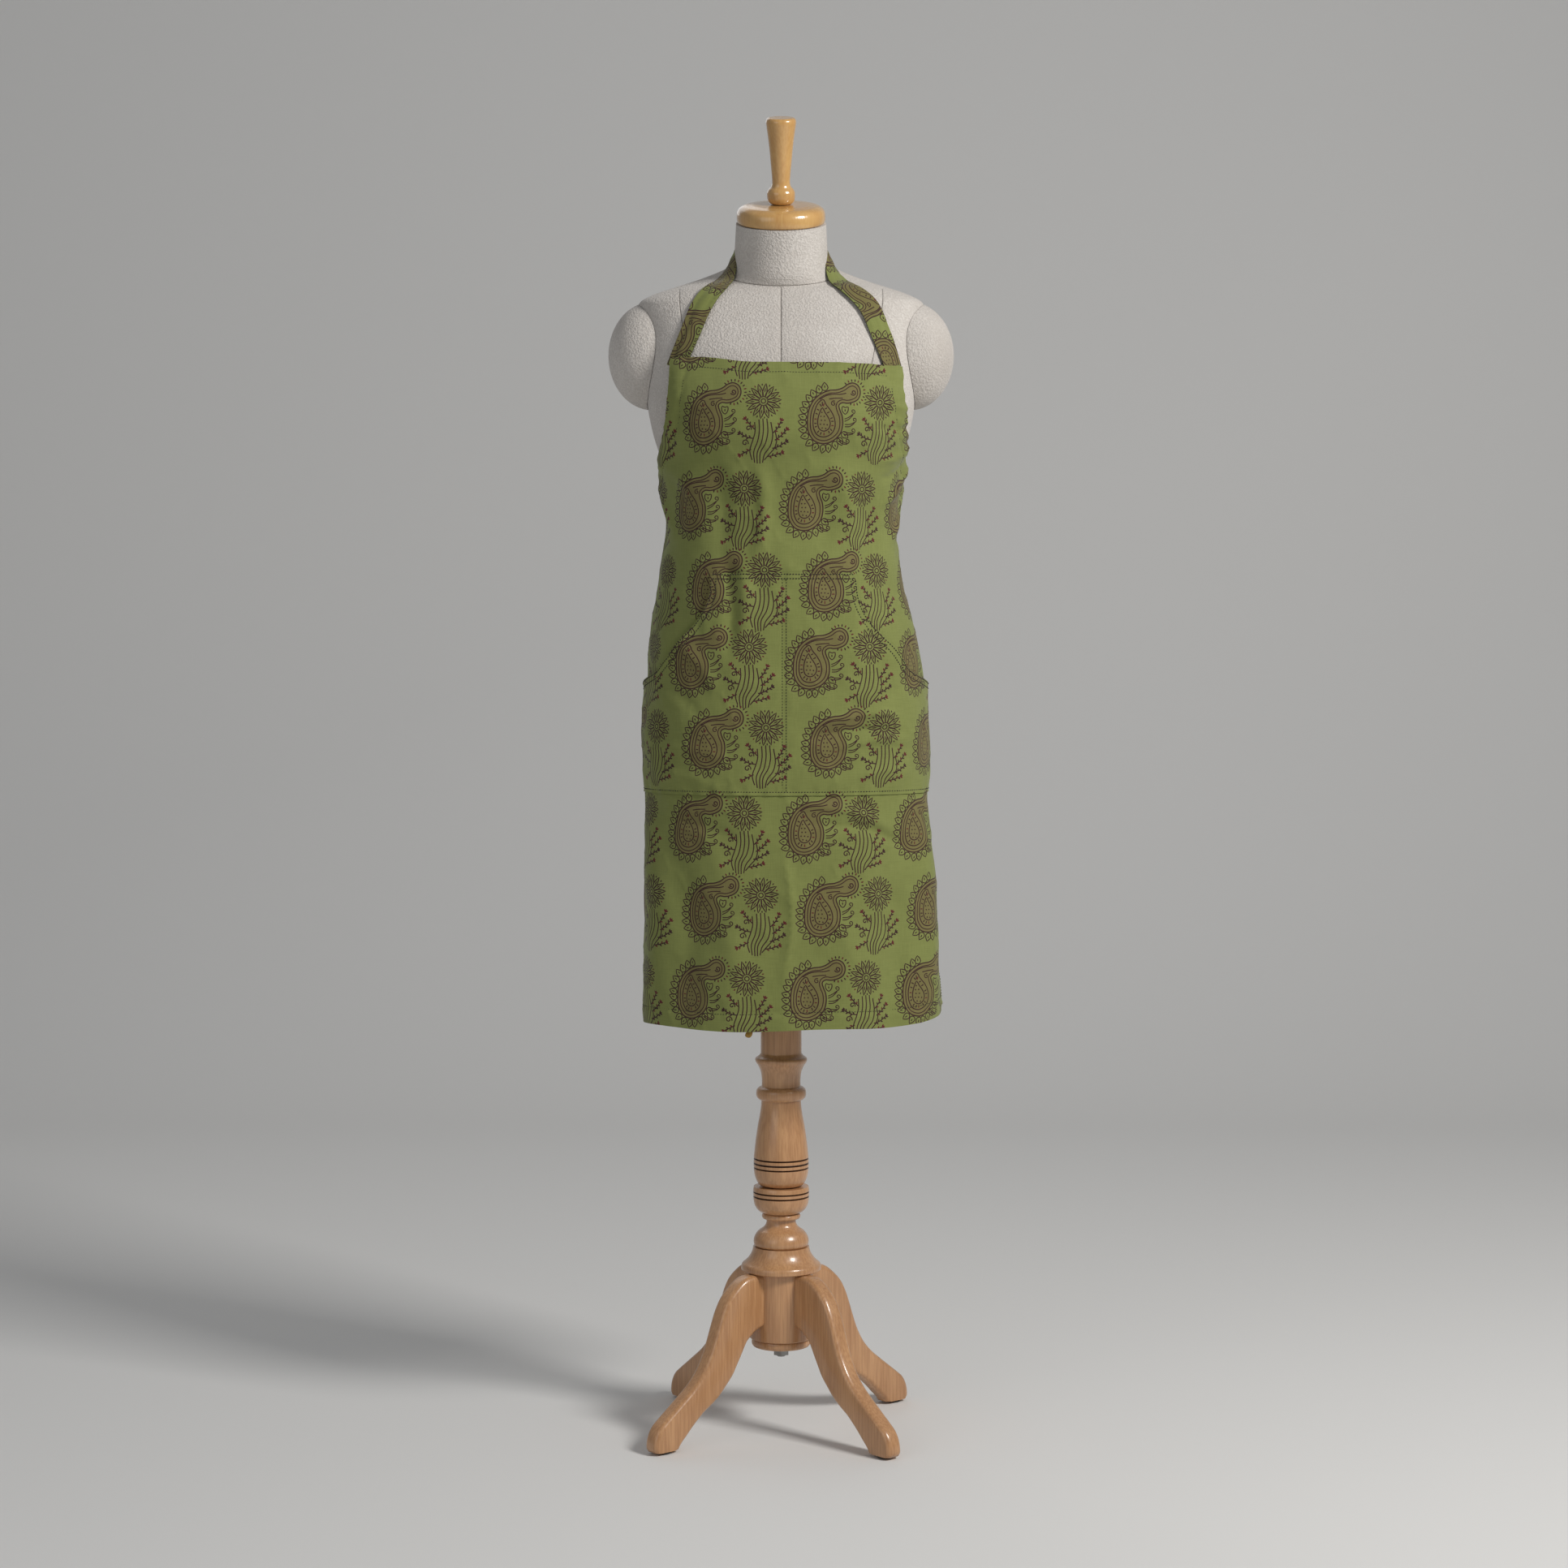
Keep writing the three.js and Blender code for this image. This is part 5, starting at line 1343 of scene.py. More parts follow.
    def stitches(self, line: Array, surface: SurfaceTable, offset: float, weight: float = 1.0,
                 pitch: float = 3.3) -> Shape:
        """A row of sewn stitches.

        Args:
            line: flat places along the seam.
            surface: the cloth that it is sewn into.
            offset: height over the cloth.
            weight: how many times the plain thread's thickness; a thicker dark row also paints the shadow line along
                a cloth edge.
            pitch: length of one stitch and its gap.

        Returns:
            Small closed threads, one per stitch.
        """
        line = np.array(line, float)
        along = np.concatenate([[0], np.cumsum(np.linalg.norm(np.diff(line, axis=0), axis=1))])
        starts = np.arange(0.4, along[-1] - pitch, pitch)
        shapes = []
        profile = ((0.0, 0.0), (0.14, 0.38), (0.38, 0.42), (0.58, 0.38), (0.7, 0.0))
        stations = np.array([share * pitch for share, _ in profile])
        at = (starts[:, None] + stations[None, :]).ravel()
        flat = np.column_stack([np.interp(at, along, line[:, k]) for k in (0, 1)])
        points, normals = surface.place(flat[:, 0], flat[:, 1], offset)
        points, normals = points.reshape(-1, 5, 3), normals.reshape(-1, 5, 3)
        faces = [(0, 1 + (k + 1) % 5, 1 + k) for k in range(5)]
        faces += [(1 + 5 * r + k, 1 + 5 * r + (k + 1) % 5, 6 + 5 * r + (k + 1) % 5, 6 + 5 * r + k)
                  for r in range(2) for k in range(5)]
        faces += [(16, 11 + k, 11 + (k + 1) % 5) for k in range(5)]
        turn = np.arange(5) * 2 * math.pi / 5
        for path, up in zip(points, normals):
            way = path[-1] - path[0]
            way /= max(np.linalg.norm(way), 1e-9)
            side = np.cross(way, up[2])
            rings = [path[r] + weight * radius * (np.cos(turn)[:, None] * side + np.sin(turn)[:, None] * up[r])
                     for r, (_, radius) in enumerate(profile) if radius]
            shapes.append(Shape(np.vstack([path[:1], *rings, path[-1:]]), faces))
        return Shape.together(shapes)

    def inset(self, curve: Array, distance: float, sign: int) -> Array:
        """A curve moved sideways on the flat cloth."""
        way = np.gradient(curve, axis=0)
        way /= np.linalg.norm(way, axis=1, keepdims=True)
        return curve + sign * distance * np.column_stack([-way[:, 1], way[:, 0]])

    def seam_lines(self, pocket: SurfaceTable) -> Shape:
        """Every visible row of stitching on the apron; the pocket's rows are heavier, so that their dark thread also
        paints the shadow lines along the pocket's edges.
        """
        rows = []
        width, hem = self.half_width, self.hem
        edge = self.drooped(np.column_stack([np.linspace(-width + 6, width - 6, 200), np.full(200, hem)]))
        rows.append(self.stitches(edge + (0, self.hem_depth), self.front, 0.05))
        for sign, column in ((1, 1), (-1, 2)):
            side = np.column_stack([np.full(120, -sign * (width - 9)), np.linspace(hem + 22, 280, 120)])
            rows.append(self.stitches(side, self.front, 0.05))
            armhole = self.inset(self.side_curve(self.armhole, column), 20, sign)
            rows.append(self.stitches(armhole[4:], self.front, 0.05))
            mouth = self.side_curve(self.mouth, column)
            # Double topstitching along the mouths, made heavy so that the dark thread also paints the shadow of the
            # gaping mouth.
            for distance in (1.8, 7.5):
                rows.append(self.stitches(self.inset(mouth, distance, sign)[2:], pocket, 0.05, 1.7))
        top = self.drooped(np.column_stack([np.linspace(-106, 130, 90), np.full(90, 463.0)]))
        rows.append(self.stitches(top - (0, 12), self.front, 0.05))
        crown = np.column_stack([np.linspace(-80, 86, 60), np.full(60, self.mouth[0][0])])
        # Heavy rows along the pocket's top: real stitching that also paints the shadow line of the seam.
        for drop_by in (2.0, 7.0):
            rows.append(self.stitches(crown - (0, drop_by), pocket, 0.05, 1.8))
        span = self.pocket_half - 3
        foot = np.column_stack([np.linspace(-span, span, 180), np.full(180, self.pocket_bottom + 4)])
        # Heavy row along the pocket's foot: real stitching that also paints the shadow line under the pocket's lower
        # edge.
        rows.append(self.stitches(foot, pocket, 0.05, 1.5))
        for shift in (0.0, 4.5):
            centre = np.column_stack([np.full(80, 1.5 + shift), np.linspace(self.pocket_bottom + 4, 216, 80)])
            rows.append(self.stitches(centre, pocket, 0.05))
        return Shape.together(rows)

    def casing(self, column: int, sign: int) -> tuple[Array, SurfaceTable]:
        """The flat outline and the surface of one armhole casing, behind the panel."""
        edge = self.inset(self.side_curve(self.armhole, column), 0.6, sign)
        inner = self.inset(edge, self.casing_width, sign)
        outline = self.dense([edge, inner[::-1]])
        outline = outline if signed_area(outline) > 0 else outline[::-1]
        distance = self.edge_distance(self.u, self.h, self.armhole)
        swell = -3.0 - 1.6 * np.exp(-(((distance - 11) / 8) ** 2)) + np.minimum(self.panel_lift, 1.0) * 0.8
        return outline, self.base.displaced(swell)

    def strap_surface(self) -> tuple[SurfaceTable, float]:
        """The neck strap's surface on the form's skin, and its length."""
        number, angle = np.array(self.strap_route).T
        angle = np.radians(angle)
        step = 0.05
        up = self.form.skin(number + step, angle) - self.form.skin(number - step, angle)
        round_ = self.form.skin(number, angle + step) - self.form.skin(number, angle - step)
        out = np.cross(round_, up)
        out /= np.linalg.norm(out, axis=1, keepdims=True)
        out[1:-1] = (out[:-2] + 2 * out[1:-1] + out[2:]) / 4
        line = curve_through(np.hstack([self.form.skin(number, angle), out * 20]), 4.0)
        centre, out = line[:, :3], line[:, 3:]
        ahead = np.gradient(centre, axis=0)
        ahead /= np.linalg.norm(ahead, axis=1, keepdims=True)
        across = np.cross(ahead, out)
        across /= np.linalg.norm(across, axis=1, keepdims=True)
        along = np.concatenate([[0], np.cumsum(np.linalg.norm(np.diff(centre, axis=0), axis=1))])
        sideways = np.linspace(-self.strap_width / 2, self.strap_width / 2, 27)
        points = centre[:, None, :] + across[:, None, :] * sideways[None, :, None]
        table = SurfaceTable(sideways, along, points)
        s, t = np.meshgrid(sideways, along)
        rough = Unevenness(31, 11)
        lift = 4.0 + 0.5 * np.cos(s / self.strap_width * 2 * math.pi * 1.5) + 0.5 * rough(s * 2.2, t * 0.25)
        lift += 0.4 * np.sin(t / 9 + s / 6) * np.exp(-((t - along[-1] * 0.93) / 60) ** 2)
        lift -= 0.9 * ease(np.abs(s), 10.5, 13)
        return table.displaced(lift), float(along[-1])

    def ribbon_surface(
        self, path: Sequence[Point], facing: Callable[[float], Vector], width: float,
        narrow: Callable[[Array], Array], seed: int,
    ) -> tuple[SurfaceTable, float]:
        """The surface of a free run of tape.

        Args:
            path: places along its middle.
            facing: direction across its width at a share of its length.
            width: full width.
            narrow: share of the width at shares of its length.
            seed: seed of its creases.

        Returns:
            The surface and its length.
        """
        line = curve_through(path, 2.0)
        along = np.concatenate([[0], np.cumsum(np.linalg.norm(np.diff(line, axis=0), axis=1))])
        ahead = np.gradient(line, axis=0)
        ahead /= np.linalg.norm(ahead, axis=1, keepdims=True)
        share = along / along[-1]
        wide = np.array([tuple(facing(value)) for value in share])
        out = np.cross(wide, ahead)
        out /= np.linalg.norm(out, axis=1, keepdims=True)
        across = np.cross(ahead, out)
        sideways = np.linspace(-width / 2, width / 2, 23)
        scale = narrow(share)
        points = line[:, None, :] + across[:, None, :] * (sideways[None, :] * scale[:, None])[..., None]
        table = SurfaceTable(sideways, along, points)
        s, t = np.meshgrid(sideways, along)
        rough = Unevenness(seed, 13)
        pinch = 1 - np.interp(t, along, scale)
        lift = 3.2 * pinch * np.cos(s / width * 2 * math.pi * 2.5) + 0.5 * rough(s * 1.6, t * 0.4)
        return table.displaced(lift - 0.8 * pinch), float(along[-1])

    def tape_shape(self, surface: SurfaceTable, width: float, length: float, slant: float, shift: Point) -> Shape:
        """A printed tape on its surface, its print shifted so that each run differs."""
        half = width / 2
        outline = self.dense([np.array([[-half, 0.0], [half, 0.0], [half, length - slant], [-half, length]])], 2.4)
        cloth = PrintedCloth(outline, surface, thickness=1.5, spacing=3.0)
        moved = [(drawing - shift, ink) for drawing, ink in self.layout.within(
            (shift[0] - half, shift[1]), (shift[0] + half, shift[1] + length))]
        return cloth.shape(moved)

    def bow(self) -> list[tuple[Piece, Shape, float, float]]:
        """The knot's loops and tails at the back, with their flat widths and lengths."""
        centre = self.base.points[np.searchsorted(self.base.along, self.tie_height)]
        back = float(centre[:, 1].max())
        knot_y, knot_z = back - 5.4 + self.knot_size[1] + 0.3, FORM_BOTTOM + self.tie_height
        self.knot = (0.0, knot_y, knot_z)
        pieces = []
        for side, sign, tail_length in (("left", -1, 245.0), ("right", 1, 215.0)):
            loop = [(9, -3, 3), (24, -3.4, 3), (42, -2.5, 0), (62, -2.4, -5), (76, -0.4, -9), (82, 4, -10.5),
                    (77, 8.6, -10.5), (62, 12, -7), (42, 13.2, -2), (24, 9, 2), (9, 4, 4)]
            path = [(sign * x, knot_y + y, knot_z + z) for x, y, z in loop]
            surface, length = self.ribbon_surface(
                path, lambda share: Vector((0, 0.0, 1.0)), self.tie_width,
                lambda share: 0.5 + 0.5 * np.sin(math.pi * share) ** 0.7, 40 + sign)
            piece = Piece(f"bow_cloth_loop_{side}", Body.FORM, "strap_print", (f"bow_loop_{side}",))
            pieces.append((piece, self.tape_shape(surface, self.tie_width, length, 0, (30 * sign, 60)),
                           self.tie_width, length))
            top = knot_z - 8
            path = [(sign * 5, knot_y + 1, top), (sign * 7, knot_y - 1.5, top - 9)]
            for share in (0.1, 0.22, 0.38, 0.55, 0.72, 0.87, 1.0):
                height = knot_z - self.knot_size[2] - tail_length * share
                behind = smooth_rows([(row[1], row[6]) for row in self.form.rings], np.array([height - FORM_BOTTOM]))
                wave = 2.2 * math.sin(share * 8 + sign)
                path.append((sign * (7 + 22 * share) + wave, behind[0, 0] + 8.0 + 3 * share + 0.6 * wave, height))
            surface, length = self.ribbon_surface(
                path, lambda share, s=sign: Vector((-1, 0.32 * s * math.sin(5 * share), 0)), self.tie_width,
                lambda share: 0.55 + 0.45 * ease(share, 0, 0.22), 50 + sign)
            piece = Piece(f"bow_cloth_tail_{side}", Body.FORM, "strap_print", (f"bow_tail_{side}",))
            pieces.append((piece, self.tape_shape(surface, self.tie_width, length, 7, (70 * sign, -150)),
                           self.tie_width, length))
        return pieces

    def knot_shape(self) -> Shape:
        """The bow's knot: a plump wrap of tape with creases round it."""
        sides, rows = 48, 30
        lat = np.linspace(0, math.pi, rows + 1)[1:-1, None]
        lon = (np.arange(sides) * 2 * math.pi / sides)[None, :]
        swell = 1 + 0.05 * np.cos(7 * lon + 2 * np.cos(lat)) * np.sin(lat) + 0.04 * np.cos(9 * lat)
        x = self.knot_size[0] * swell * np.cos(lat)
        y = self.knot_size[1] * swell * np.sin(lat) * np.cos(lon)
        z = self.knot_size[2] * swell * np.sin(lat) * np.sin(lon)
        points = np.column_stack([x.ravel(), y.ravel(), z.ravel()])
        ends = [[self.knot_size[0], 0, 0], [-self.knot_size[0], 0, 0]]
        points = np.vstack([points, ends]) + np.array(self.knot)
        faces = [face[::-1] for face in grid_faces(rows - 1, sides, wrap_columns=True)]
        last = (rows - 2) * sides
        faces += [(len(points) - 2, j, (j + 1) % sides) for j in range(sides)]
        faces += [(len(points) - 1, last + (j + 1) % sides, last + j) for j in range(sides)]
        flat = (points - np.array(self.knot)) * 1.4
        return Shape(points, faces, np.zeros(len(faces), int), None, flat)

    def tie(self, sign: int) -> tuple[SurfaceTable, float]:
        """One waist tie from the casing's end to the knot."""
        row = self.base.points[np.searchsorted(self.base.along, self.tie_height)]
        past = np.where(row[:, 1] > row[:, 1].max() - 0.02)[0]
        if sign > 0:
            past = past[past > 200]
        end = float(np.abs(self.base.across[past]).min())
        start = self.half_width - 2
        share = np.linspace(0, 1, 60)
        distance = start + (end - 5 - start) * share
        middle = self.tie_height - 14 + 14 * share + 1.5 * np.sin(share * 9)
        sideways = np.linspace(-self.tie_width / 2, self.tie_width / 2, 19)
        narrow = 1 - 0.4 * share**2
        u = np.repeat(sign * distance[:, None], len(sideways), axis=1)
        h = middle[:, None] + sideways[None, :] * narrow[:, None] * (-sign)
        points, _ = self.base.place(u.ravel(), h.ravel(), -4.2)
        points = points.reshape(len(share), len(sideways), 3)
        along = np.concatenate([[0], np.cumsum(np.linalg.norm(np.diff(points[:, 9], axis=0), axis=1))])
        table = SurfaceTable(sideways, along, points)
        s, t = np.meshgrid(sideways, along)
        lift = 0.5 * Unevenness(60 + sign, 12)(s * 1.5, t * 0.3)
        lift += 1.1 * ease(t / along[-1], 0.6, 1) * np.cos(s / self.tie_width * 14)
        return table.displaced(lift), float(along[-1])

    def build(self, finishes: Finishes) -> None:
        """Makes, prints and dresses the apron."""
        printed = finishes.printed
        panel_cut = self.panel_outline()
        panel_print = self.layout.within(panel_cut.min(axis=0), panel_cut.max(axis=0), self.behind_pocket)
        panel = Piece("apron_cloth_panel", Body.FORM, "apron_print", ("apron_panel",)).make(
            PrintedCloth(panel_cut, self.front).shape(panel_print), printed)
        pocket_surface = self.base.displaced(self.pocket_depth(self.u, self.h))
        pocket_cut = self.pocket_outline()
        pocket_print = self.layout.within(pocket_cut.min(axis=0), pocket_cut.max(axis=0))
        pocket = Piece("apron_cloth_pocket", Body.FORM, "apron_print", ("pocket",)).make(
            PrintedCloth(pocket_cut, pocket_surface, 0.9).shape(pocket_print), printed)
        for side, column, sign in (("left", 1, 1), ("right", 2, -1)):
            outline, surface = self.casing(column, sign)
            Piece(f"armhole_casing_{side}", Body.FORM, "apron_print", (f"casing_{side}",)).make(
                PrintedCloth(outline, surface, 0.9, 3.0).shape([]), [finishes.reverse])
        stitching = Piece("apron_stitching", Body.FORM, "apron_print").make(
            self.seam_lines(pocket_surface), [finishes.thread], 60)
        surface, length = self.strap_surface()
        strap = Piece("neck_strap_tape", Body.FORM, "strap_print", ("neck_strap",)).make(
            self.tape_shape(surface, self.strap_width, length, 0, (44, -300)), printed)
        for piece, shape, width, run in self.bow():
            thing = piece.make(shape, printed)
        for side, sign in (("left", -1), ("right", 1)):
            surface, length = self.tie(sign)
            tie = Piece(f"waist_tie_tape_{side}", Body.FORM, "strap_print", (f"waist_tie_{side}",)).make(
                self.tape_shape(surface, self.tie_width, length, 0, (50 * sign, 120)), printed)
        knot = Piece("bow_cloth_knot", Body.FORM, "strap_print", ("bow_knot",))
        knot.make(self.knot_shape(), [finishes.ground], 80)


def signed_area(outline: Array) -> float:
    """Area of a flat outline, positive when it runs anticlockwise."""
    x, y = outline[:, 0], outline[:, 1]
    return 0.5 * float(np.sum(x * np.roll(y, -1) - np.roll(x, -1) * y))


# ---------------------------------------------------------------- stand
@dataclass
class Stand:
    """The turned column, its cabriole legs, the pole and the clamp screw."""

    hub_radius: float = 38.0
    turn: float = 41.0
    leg_thick: float = 22.0
    rounding: float = 6.5
    # pairs across the leg: underside (distance from the hub's face, height), crest (the same)
    leg_stations: tuple = (
        ((-5, 127.5), (-5, 189.6)), ((0, 126), (8, 189.6)), ((9, 123), (20, 189)), ((16, 118), (28, 186)),
        ((22, 113), (36, 180.5)), ((27, 105), (49, 168.5)), ((32, 96), (57.5, 155)), ((38, 86), (64, 139.5)),
        ((44, 76), (70.5, 122)), ((54, 65), (79, 102)), ((65, 54), (90, 84.5)), ((76.5, 46), (103, 71)),
        ((88, 39), (117, 60)), ((98, 31), (131, 49.5)), ((107, 23), (145, 39)), ((114, 16), (154.5, 31)),
        ((120, 10.5), (160, 21.5)), ((124, 6), (162, 12)), ((126, 3.4), (161.4, 6)), ((128, 3.3), (159.5, 3.3)),
    )
    column_grooves: tuple = (278.4, 283.8)
    vase_grooves: tuple = (312.8, 318.1, 323.8)

    def leg(self) -> Shape:
        """One leg lying along +X: a rounded bar that swells at the knee and foot."""
        table = np.array([[*low, *high] for low, high in self.leg_stations], float)
        centre_line = (table[:, :2] + table[:, 2:]) / 2
        keys = np.concatenate([[0], np.cumsum(np.linalg.norm(np.diff(centre_line, axis=0), axis=1))])
        stations = np.linspace(0, keys[-1], 110)
        rows = smooth_rows(np.column_stack([keys, table]), stations)
        turn = np.linspace(0, math.pi / 2, 7)
        rings = []
        for low_x, low_z, high_x, high_z in rows:
            low, high = np.array([low_x, low_z]), np.array([high_x, high_z])
            length = float(np.linalg.norm(high - low))
            up = (high - low) / length
            half, middle = self.leg_thick / 2, (low + high) / 2
            radius = min(self.rounding, length / 2 - 0.5)
            ring = []
            for side, rise, start in ((1, 1, 0), (-1, 1, 1), (-1, -1, 2), (1, -1, 3)):
                for angle in turn + start * math.pi / 2:
                    a = side * (half - radius) + radius * math.cos(angle)
                    b = rise * (length / 2 - radius) + radius * math.sin(angle)
                    b = min(b, length / 2)
                    place = middle + up * b
                    ring.append((self.hub_radius + place[0], a, max(place[1], 3.3)))
            rings.append(ring)
        count = len(rings[0])
        points = np.array(rings).reshape(-1, 3)
        faces = grid_faces(len(rings), count, wrap_columns=True)
        faces += [tuple(range(count - 1, -1, -1)), tuple(range(len(points) - count, len(points)))]
        return Shape(points, [face[::-1] for face in faces])

    def wing_screw(self) -> Shape:
        """The clamp screw: threaded shaft, boss and two curved wings."""
        start = 25.4
        shaft = turned([[(2.9, 14.4), (2.9, start + 0.5)]], 32)
        rim = [(5.2, start), (6.0, start + 0.9)]
        barrel = [(6.0, start + 0.9), (6.0, start + 3), (5.2, start + 5.5),
                  (4.6, start + 8), (4.2, start + 9), (3.0, start + 9.4)]
        boss = turned([rim, barrel], 40)
        crest = curve_through([(3.5, start + 2), (6.5, start + 5.5), (10, start + 8.3), (13.5, start + 9.2),
                               (16.2, start + 11.5), (16.4, start + 14.6), (14.5, start + 17.3), (11.5, start + 17),
                               (8, start + 13.5), (5.5, start + 9.6), (3.5, start + 7.5)], 0.8)
        wings = []
        for sign in (1, -1):
            middle = crest.mean(axis=0)
            rings = []
            for depth, scale in ((-1.6, 0.86), (-1.45, 0.95), (-0.8, 1.0), (0.8, 1.0), (1.45, 0.95), (1.6, 0.86)):
                ring = middle + (crest - middle) * scale
                rings.append(np.column_stack([sign * ring[:, 0], np.full(len(ring), depth), ring[:, 1]]))
            count = len(crest)
            faces = grid_faces(len(rings), count, wrap_columns=True)
            faces += [tuple(range(count - 1, -1, -1)), tuple(range(count * 5, count * 6))]
            wings.append(Shape(np.vstack(rings), [face if sign > 0 else face[::-1] for face in faces]))
        whole = Shape.together([shaft, boss, *wings])
        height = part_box("clamp_insert")
        middle_z = (height[0][2] + height[1][2]) / 2 / MM
        return whole.moved(Matrix.Translation((0, 0, middle_z)) @ Matrix.Rotation(-math.pi / 2, 4, "Y"))

    def build(self, finishes: Finishes) -> None:
        """Makes and dresses the stand."""
        wood, groove = finishes.stand_wood, finishes.groove
        leg = self.leg()
        for i in range(4):
            around = Matrix.Rotation(math.radians(self.turn + 90 * i), 4, "Z")
            Piece(f"cabriole_leg_{i + 1}", Body.STAND, "stand_wood", (f"leg_{i + 1}",)).make(
                leg.moved(around), [wood], 60)
        bits = {
            "hub_post": [[(37, 108.3), (38, 109.2)], [(38, 109.2), (38, 189.7)]],
            "base_disc": [[(30, 98), (33.4, 98.6), (35, 101.4), (35, 105), (34.2, 107.4), (32.5, 108)]],
            "flange_collar": [[(46.6, 190), (47.6, 191)], [(47.6, 191), (47.6, 194.6)],
                              [(47.6, 194.6), (46.6, 197.2), (43.5, 199.8), (40, 203.3), (37, 207.4), (34.6, 212.5),
                               (33.3, 218)]],
        }
        for name, runs in bits.items():
            Piece(f"turned_{name}", Body.STAND, "stand_wood", (name,)).make(turned(runs), [wood])
        cup = [
            [(30.2, 218.3), (32.1, 220.2), (32.9, 223.6), (32.4, 227.8), (30.6, 232), (27.2, 236.4), (22.4, 239.8),
             (19, 243.2), (17.6, 247), (17.5, 250.6)],
            [(17.5, 250.6), (19.6, 250.9)], [(19.6, 250.9), (22.2, 252), (23, 254.5), (22.2, 257), (20.6, 257.9)],
            [(20.6, 257.9), (25.2, 259.8), (29.2, 263.4), (31.7, 268), (32.9, 273), (33.3, 280), (33.3, 286.5),
             (32.6, 290)],
        ]
        vase = [
            [(21.6, 290.3), (25.9, 291.9)], [(25.9, 291.9), (28.3, 295), (30.4, 299.4), (31.9, 305), (32.6, 311),
                                             (32.8, 318), (32.6, 324), (31.7, 334), (29.8, 350), (27.6, 364),
                                             (25.2, 377), (24, 386), (23.5, 393.5)],
            [(23.5, 393.5), (26.4, 394.2)], [(26.4, 394.2), (28.9, 397), (29.7, 401.8), (28.9, 406), (26.4, 408.6)],
            [(26.4, 408.6), (23.2, 410)], [(23.2, 410), (23, 415), (23.3, 421), (24.6, 428.5), (27.6, 435),
                                           (30.6, 440), (31, 442), (30.2, 443.9)],
            [(30.2, 443.9), (26.5, 446.6), (24.3, 449.4)], [(24.3, 449.4), (24.2, 502.6)],
            [(24.2, 502.6), (22.8, 505)], [(22.8, 505), (14.4, 505)],
        ]
        for name, runs, cuts in (("column_cup", cup, self.column_grooves), ("baluster", vase, self.vase_grooves)):
            shape = turned(grooved(runs, cuts, 1.8, 1.0))
            centres = np.array([shape.points[list(face)][:, 2].mean() for face in shape.faces])
            shape.slots = np.array([int(any(abs(z - cut) < 0.95 for cut in cuts)) for z in centres])
            Piece(f"turned_{name}", Body.STAND, "stand_wood", (name,)).make(shape, [wood, groove])
        low, high = (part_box("pole")[i] for i in (0, 1))
        bottom, top, radius = low[2] / MM, high[2] / MM, high[0] / MM
        pole = turned([[(radius - 1.6, bottom), (radius, bottom + 2)], [(radius, bottom + 2), (radius, top - 0.8)],
                       [(radius, top - 0.8), (radius - 0.8, top)]], 64, 20)
        Piece("height_pole", Body.POLE, "stand_wood", ("pole",)).make(pole, [wood])
        Piece("brass_wing_screw", Body.SCREW, "brass", ("wing_screw",)).make(self.wing_screw(), [finishes.brass], 30)


# ---------------------------------------------------------------- what stays as made
def dress_hidden_parts(finishes: Finishes) -> None:
    """Gives finishes to the pads, bolts and inner parts, whose shapes stay as they are."""
    by_name = {
        finishes.pad: ("foot_pad_",), finishes.brass: ("clamp_insert",),
        finishes.board_wood: ("pole_socket", "neck_plug"),
        finishes.steel: ("leg_bolt_", "tie_", "socket_screw_", "handle_stud"),
    }
    for name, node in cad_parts.items():
        for material, starts in by_name.items():
            if name.startswith(starts):
                for place in node.material_slots:
                    place.link = "OBJECT"
                    place.material = material


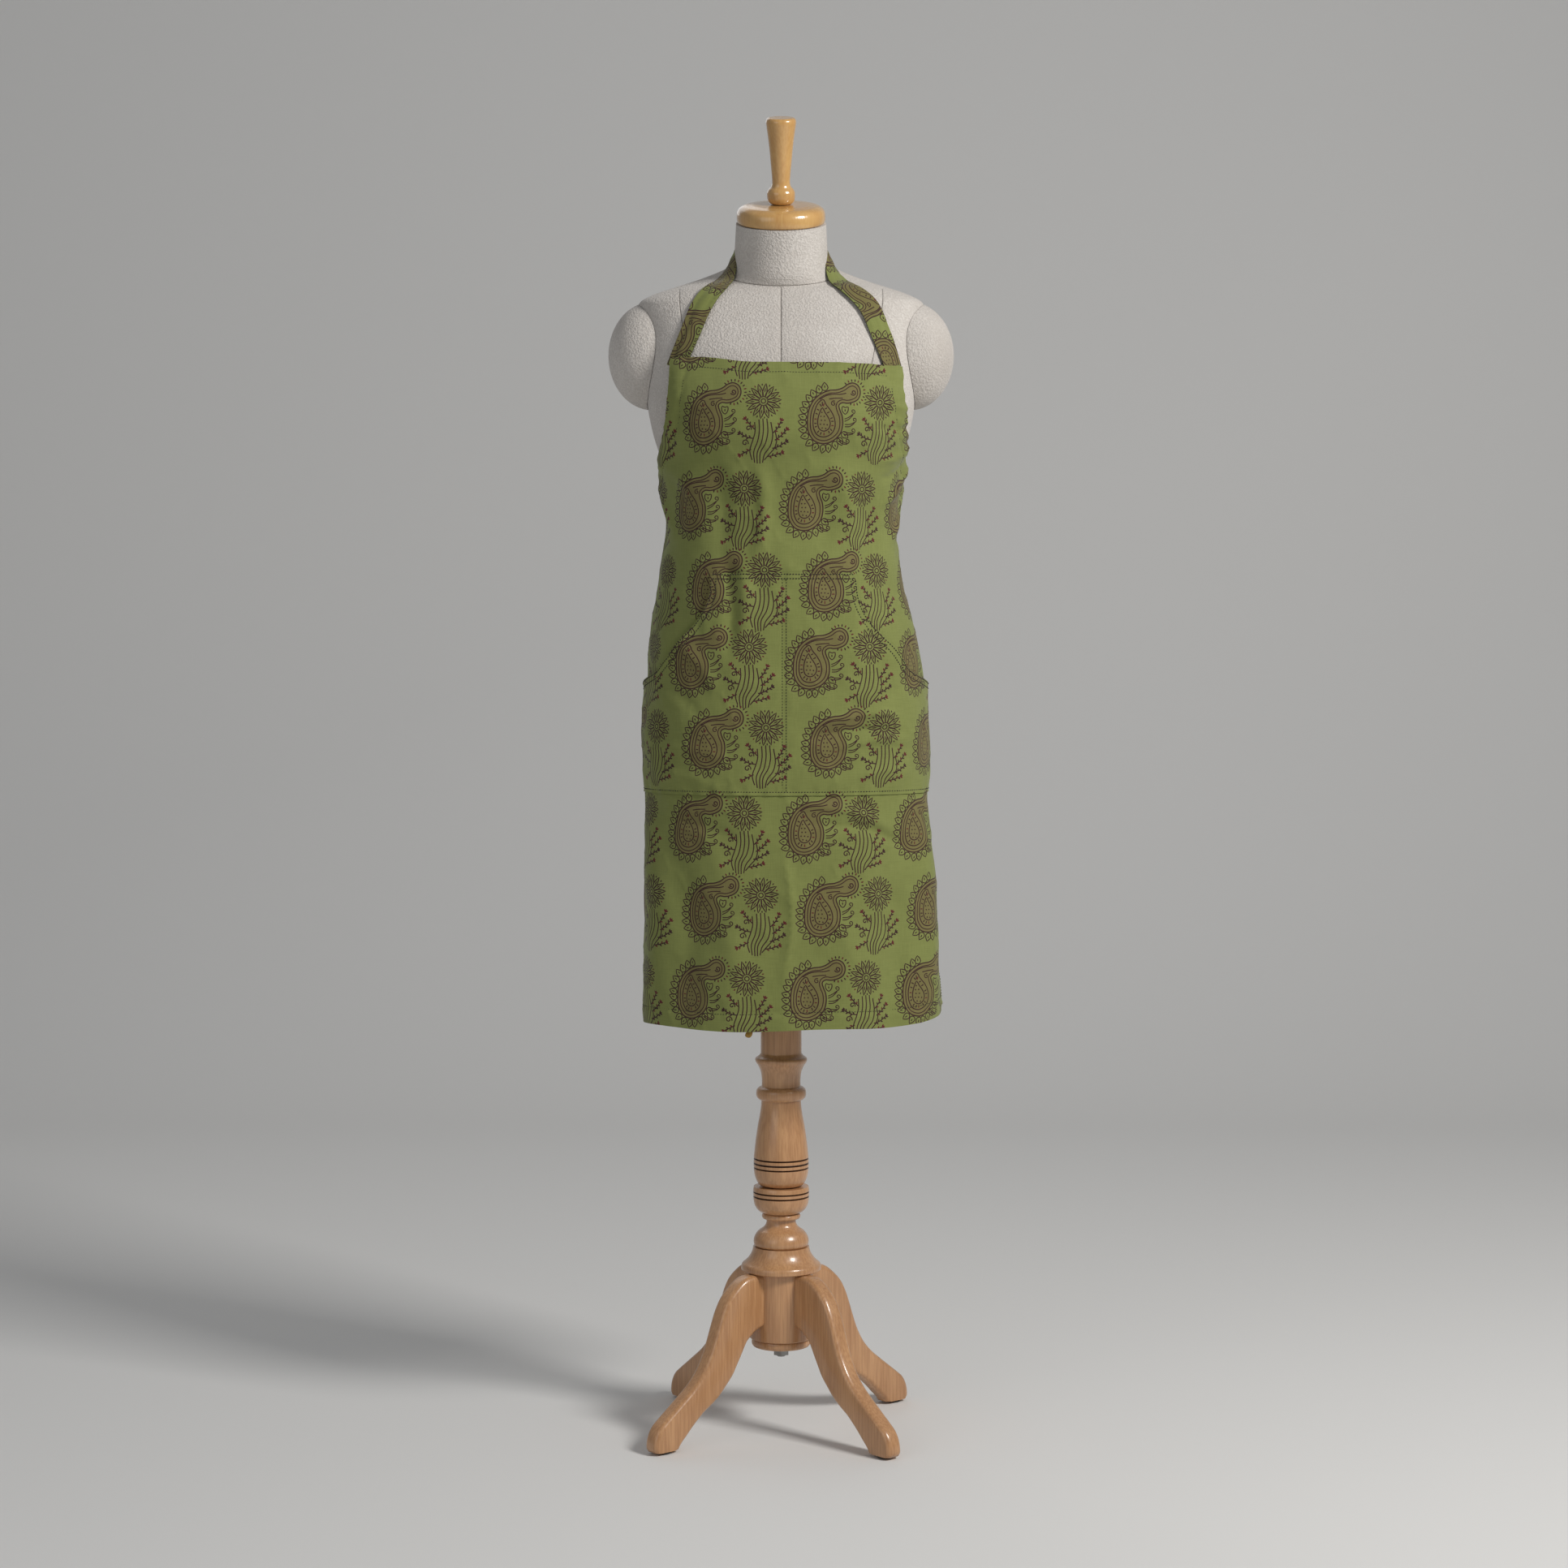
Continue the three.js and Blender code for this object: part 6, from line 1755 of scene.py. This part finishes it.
@dataclass
class Studio:
    """Pale sweep, soft lights and the camera."""

    distance: float = 3.6
    eye_height: float = 0.95
    pitch: float = 2.87
    lens: float = 69.9

    def sweep(self) -> None:
        """A pale floor that curves up into a backdrop."""
        profile = [(-6.0, 0.0), (2.2, 0.0)]
        profile += [(2.2 + 1.2 * math.sin(a), 1.2 - 1.2 * math.cos(a)) for a in np.linspace(0.1, math.pi / 2, 14)]
        profile += [(3.4, 5.0)]
        points = [(x, y, z) for y, z in profile for x in (-7.0, 7.0)]
        mesh = bpy.data.meshes.new("studio_sweep")
        mesh.from_pydata(points, [], [(2 * i, 2 * i + 1, 2 * i + 3, 2 * i + 2) for i in range(len(profile) - 1)])
        mesh.polygons.foreach_set("use_smooth", np.ones(len(mesh.polygons), bool))
        material, _, shader = blank_material("pale_sweep")
        shader.inputs["Base Color"].default_value = colour_of(226, 225, 223)
        shader.inputs["Roughness"].default_value = 0.9
        mesh.materials.append(material)
        sweep = bpy.data.objects.new("studio_sweep", mesh)
        bpy.context.scene.collection.objects.link(sweep)

    def light(self, name: str, place: Point, target: Point, size: float, power: float, tint: Point) -> None:
        """One soft square light aimed at a point."""
        data = bpy.data.lights.new(name, "AREA")
        data.shape, data.size, data.energy, data.color = "SQUARE", size, power, tint
        lamp = bpy.data.objects.new(name, data)
        lamp.location = place
        lamp.rotation_euler = (Vector(target) - Vector(place)).to_track_quat("-Z", "Y").to_euler()
        bpy.context.scene.collection.objects.link(lamp)

    def build(self) -> None:
        """Sets up the whole studio."""
        self.sweep()
        self.light("key_light", (2.15, -1.7, 2.6), (0, 0, 1.1), 0.8, 84.0, (1.0, 0.985, 0.96))
        self.light("fill_light", (-2.2, -3.0, 1.8), (0, 0, 1.0), 2.4, 14.0, (0.95, 0.97, 1.0))
        self.light("back_light", (-0.9, 2.0, 2.6), (0, 0, 1.2), 1.6, 5.5, (1.0, 1.0, 1.0))
        world = bpy.data.worlds.new("studio_air")
        world.use_nodes = True
        world.node_tree.nodes["Background"].inputs["Color"].default_value = (0.9, 0.92, 0.95, 1)
        world.node_tree.nodes["Background"].inputs["Strength"].default_value = 0.25
        bpy.context.scene.world = world
        bpy.context.scene.view_settings.view_transform = "Standard"
        data = bpy.data.cameras.new("camera")
        data.lens, data.sensor_width = self.lens, 36.0
        data.dof.use_dof = False
        camera = bpy.data.objects.new("camera", data)
        camera.location = (0.0034, -self.distance, self.eye_height)
        camera.rotation_euler = (math.radians(90 - self.pitch), 0, 0)
        bpy.context.scene.collection.objects.link(camera)
        bpy.context.scene.camera = camera


def main() -> None:
    """Builds the object from the floor up, then the studio round it."""
    logging.basicConfig(level=logging.INFO, format="%(message)s")
    finishes = Finishes()
    form = DressForm()
    Stand().build(finishes)
    form.build(finishes)
    Apron(form).build(finishes)
    dress_hidden_parts(finishes)
    Studio().build()


if __name__ == "__main__":
    main()
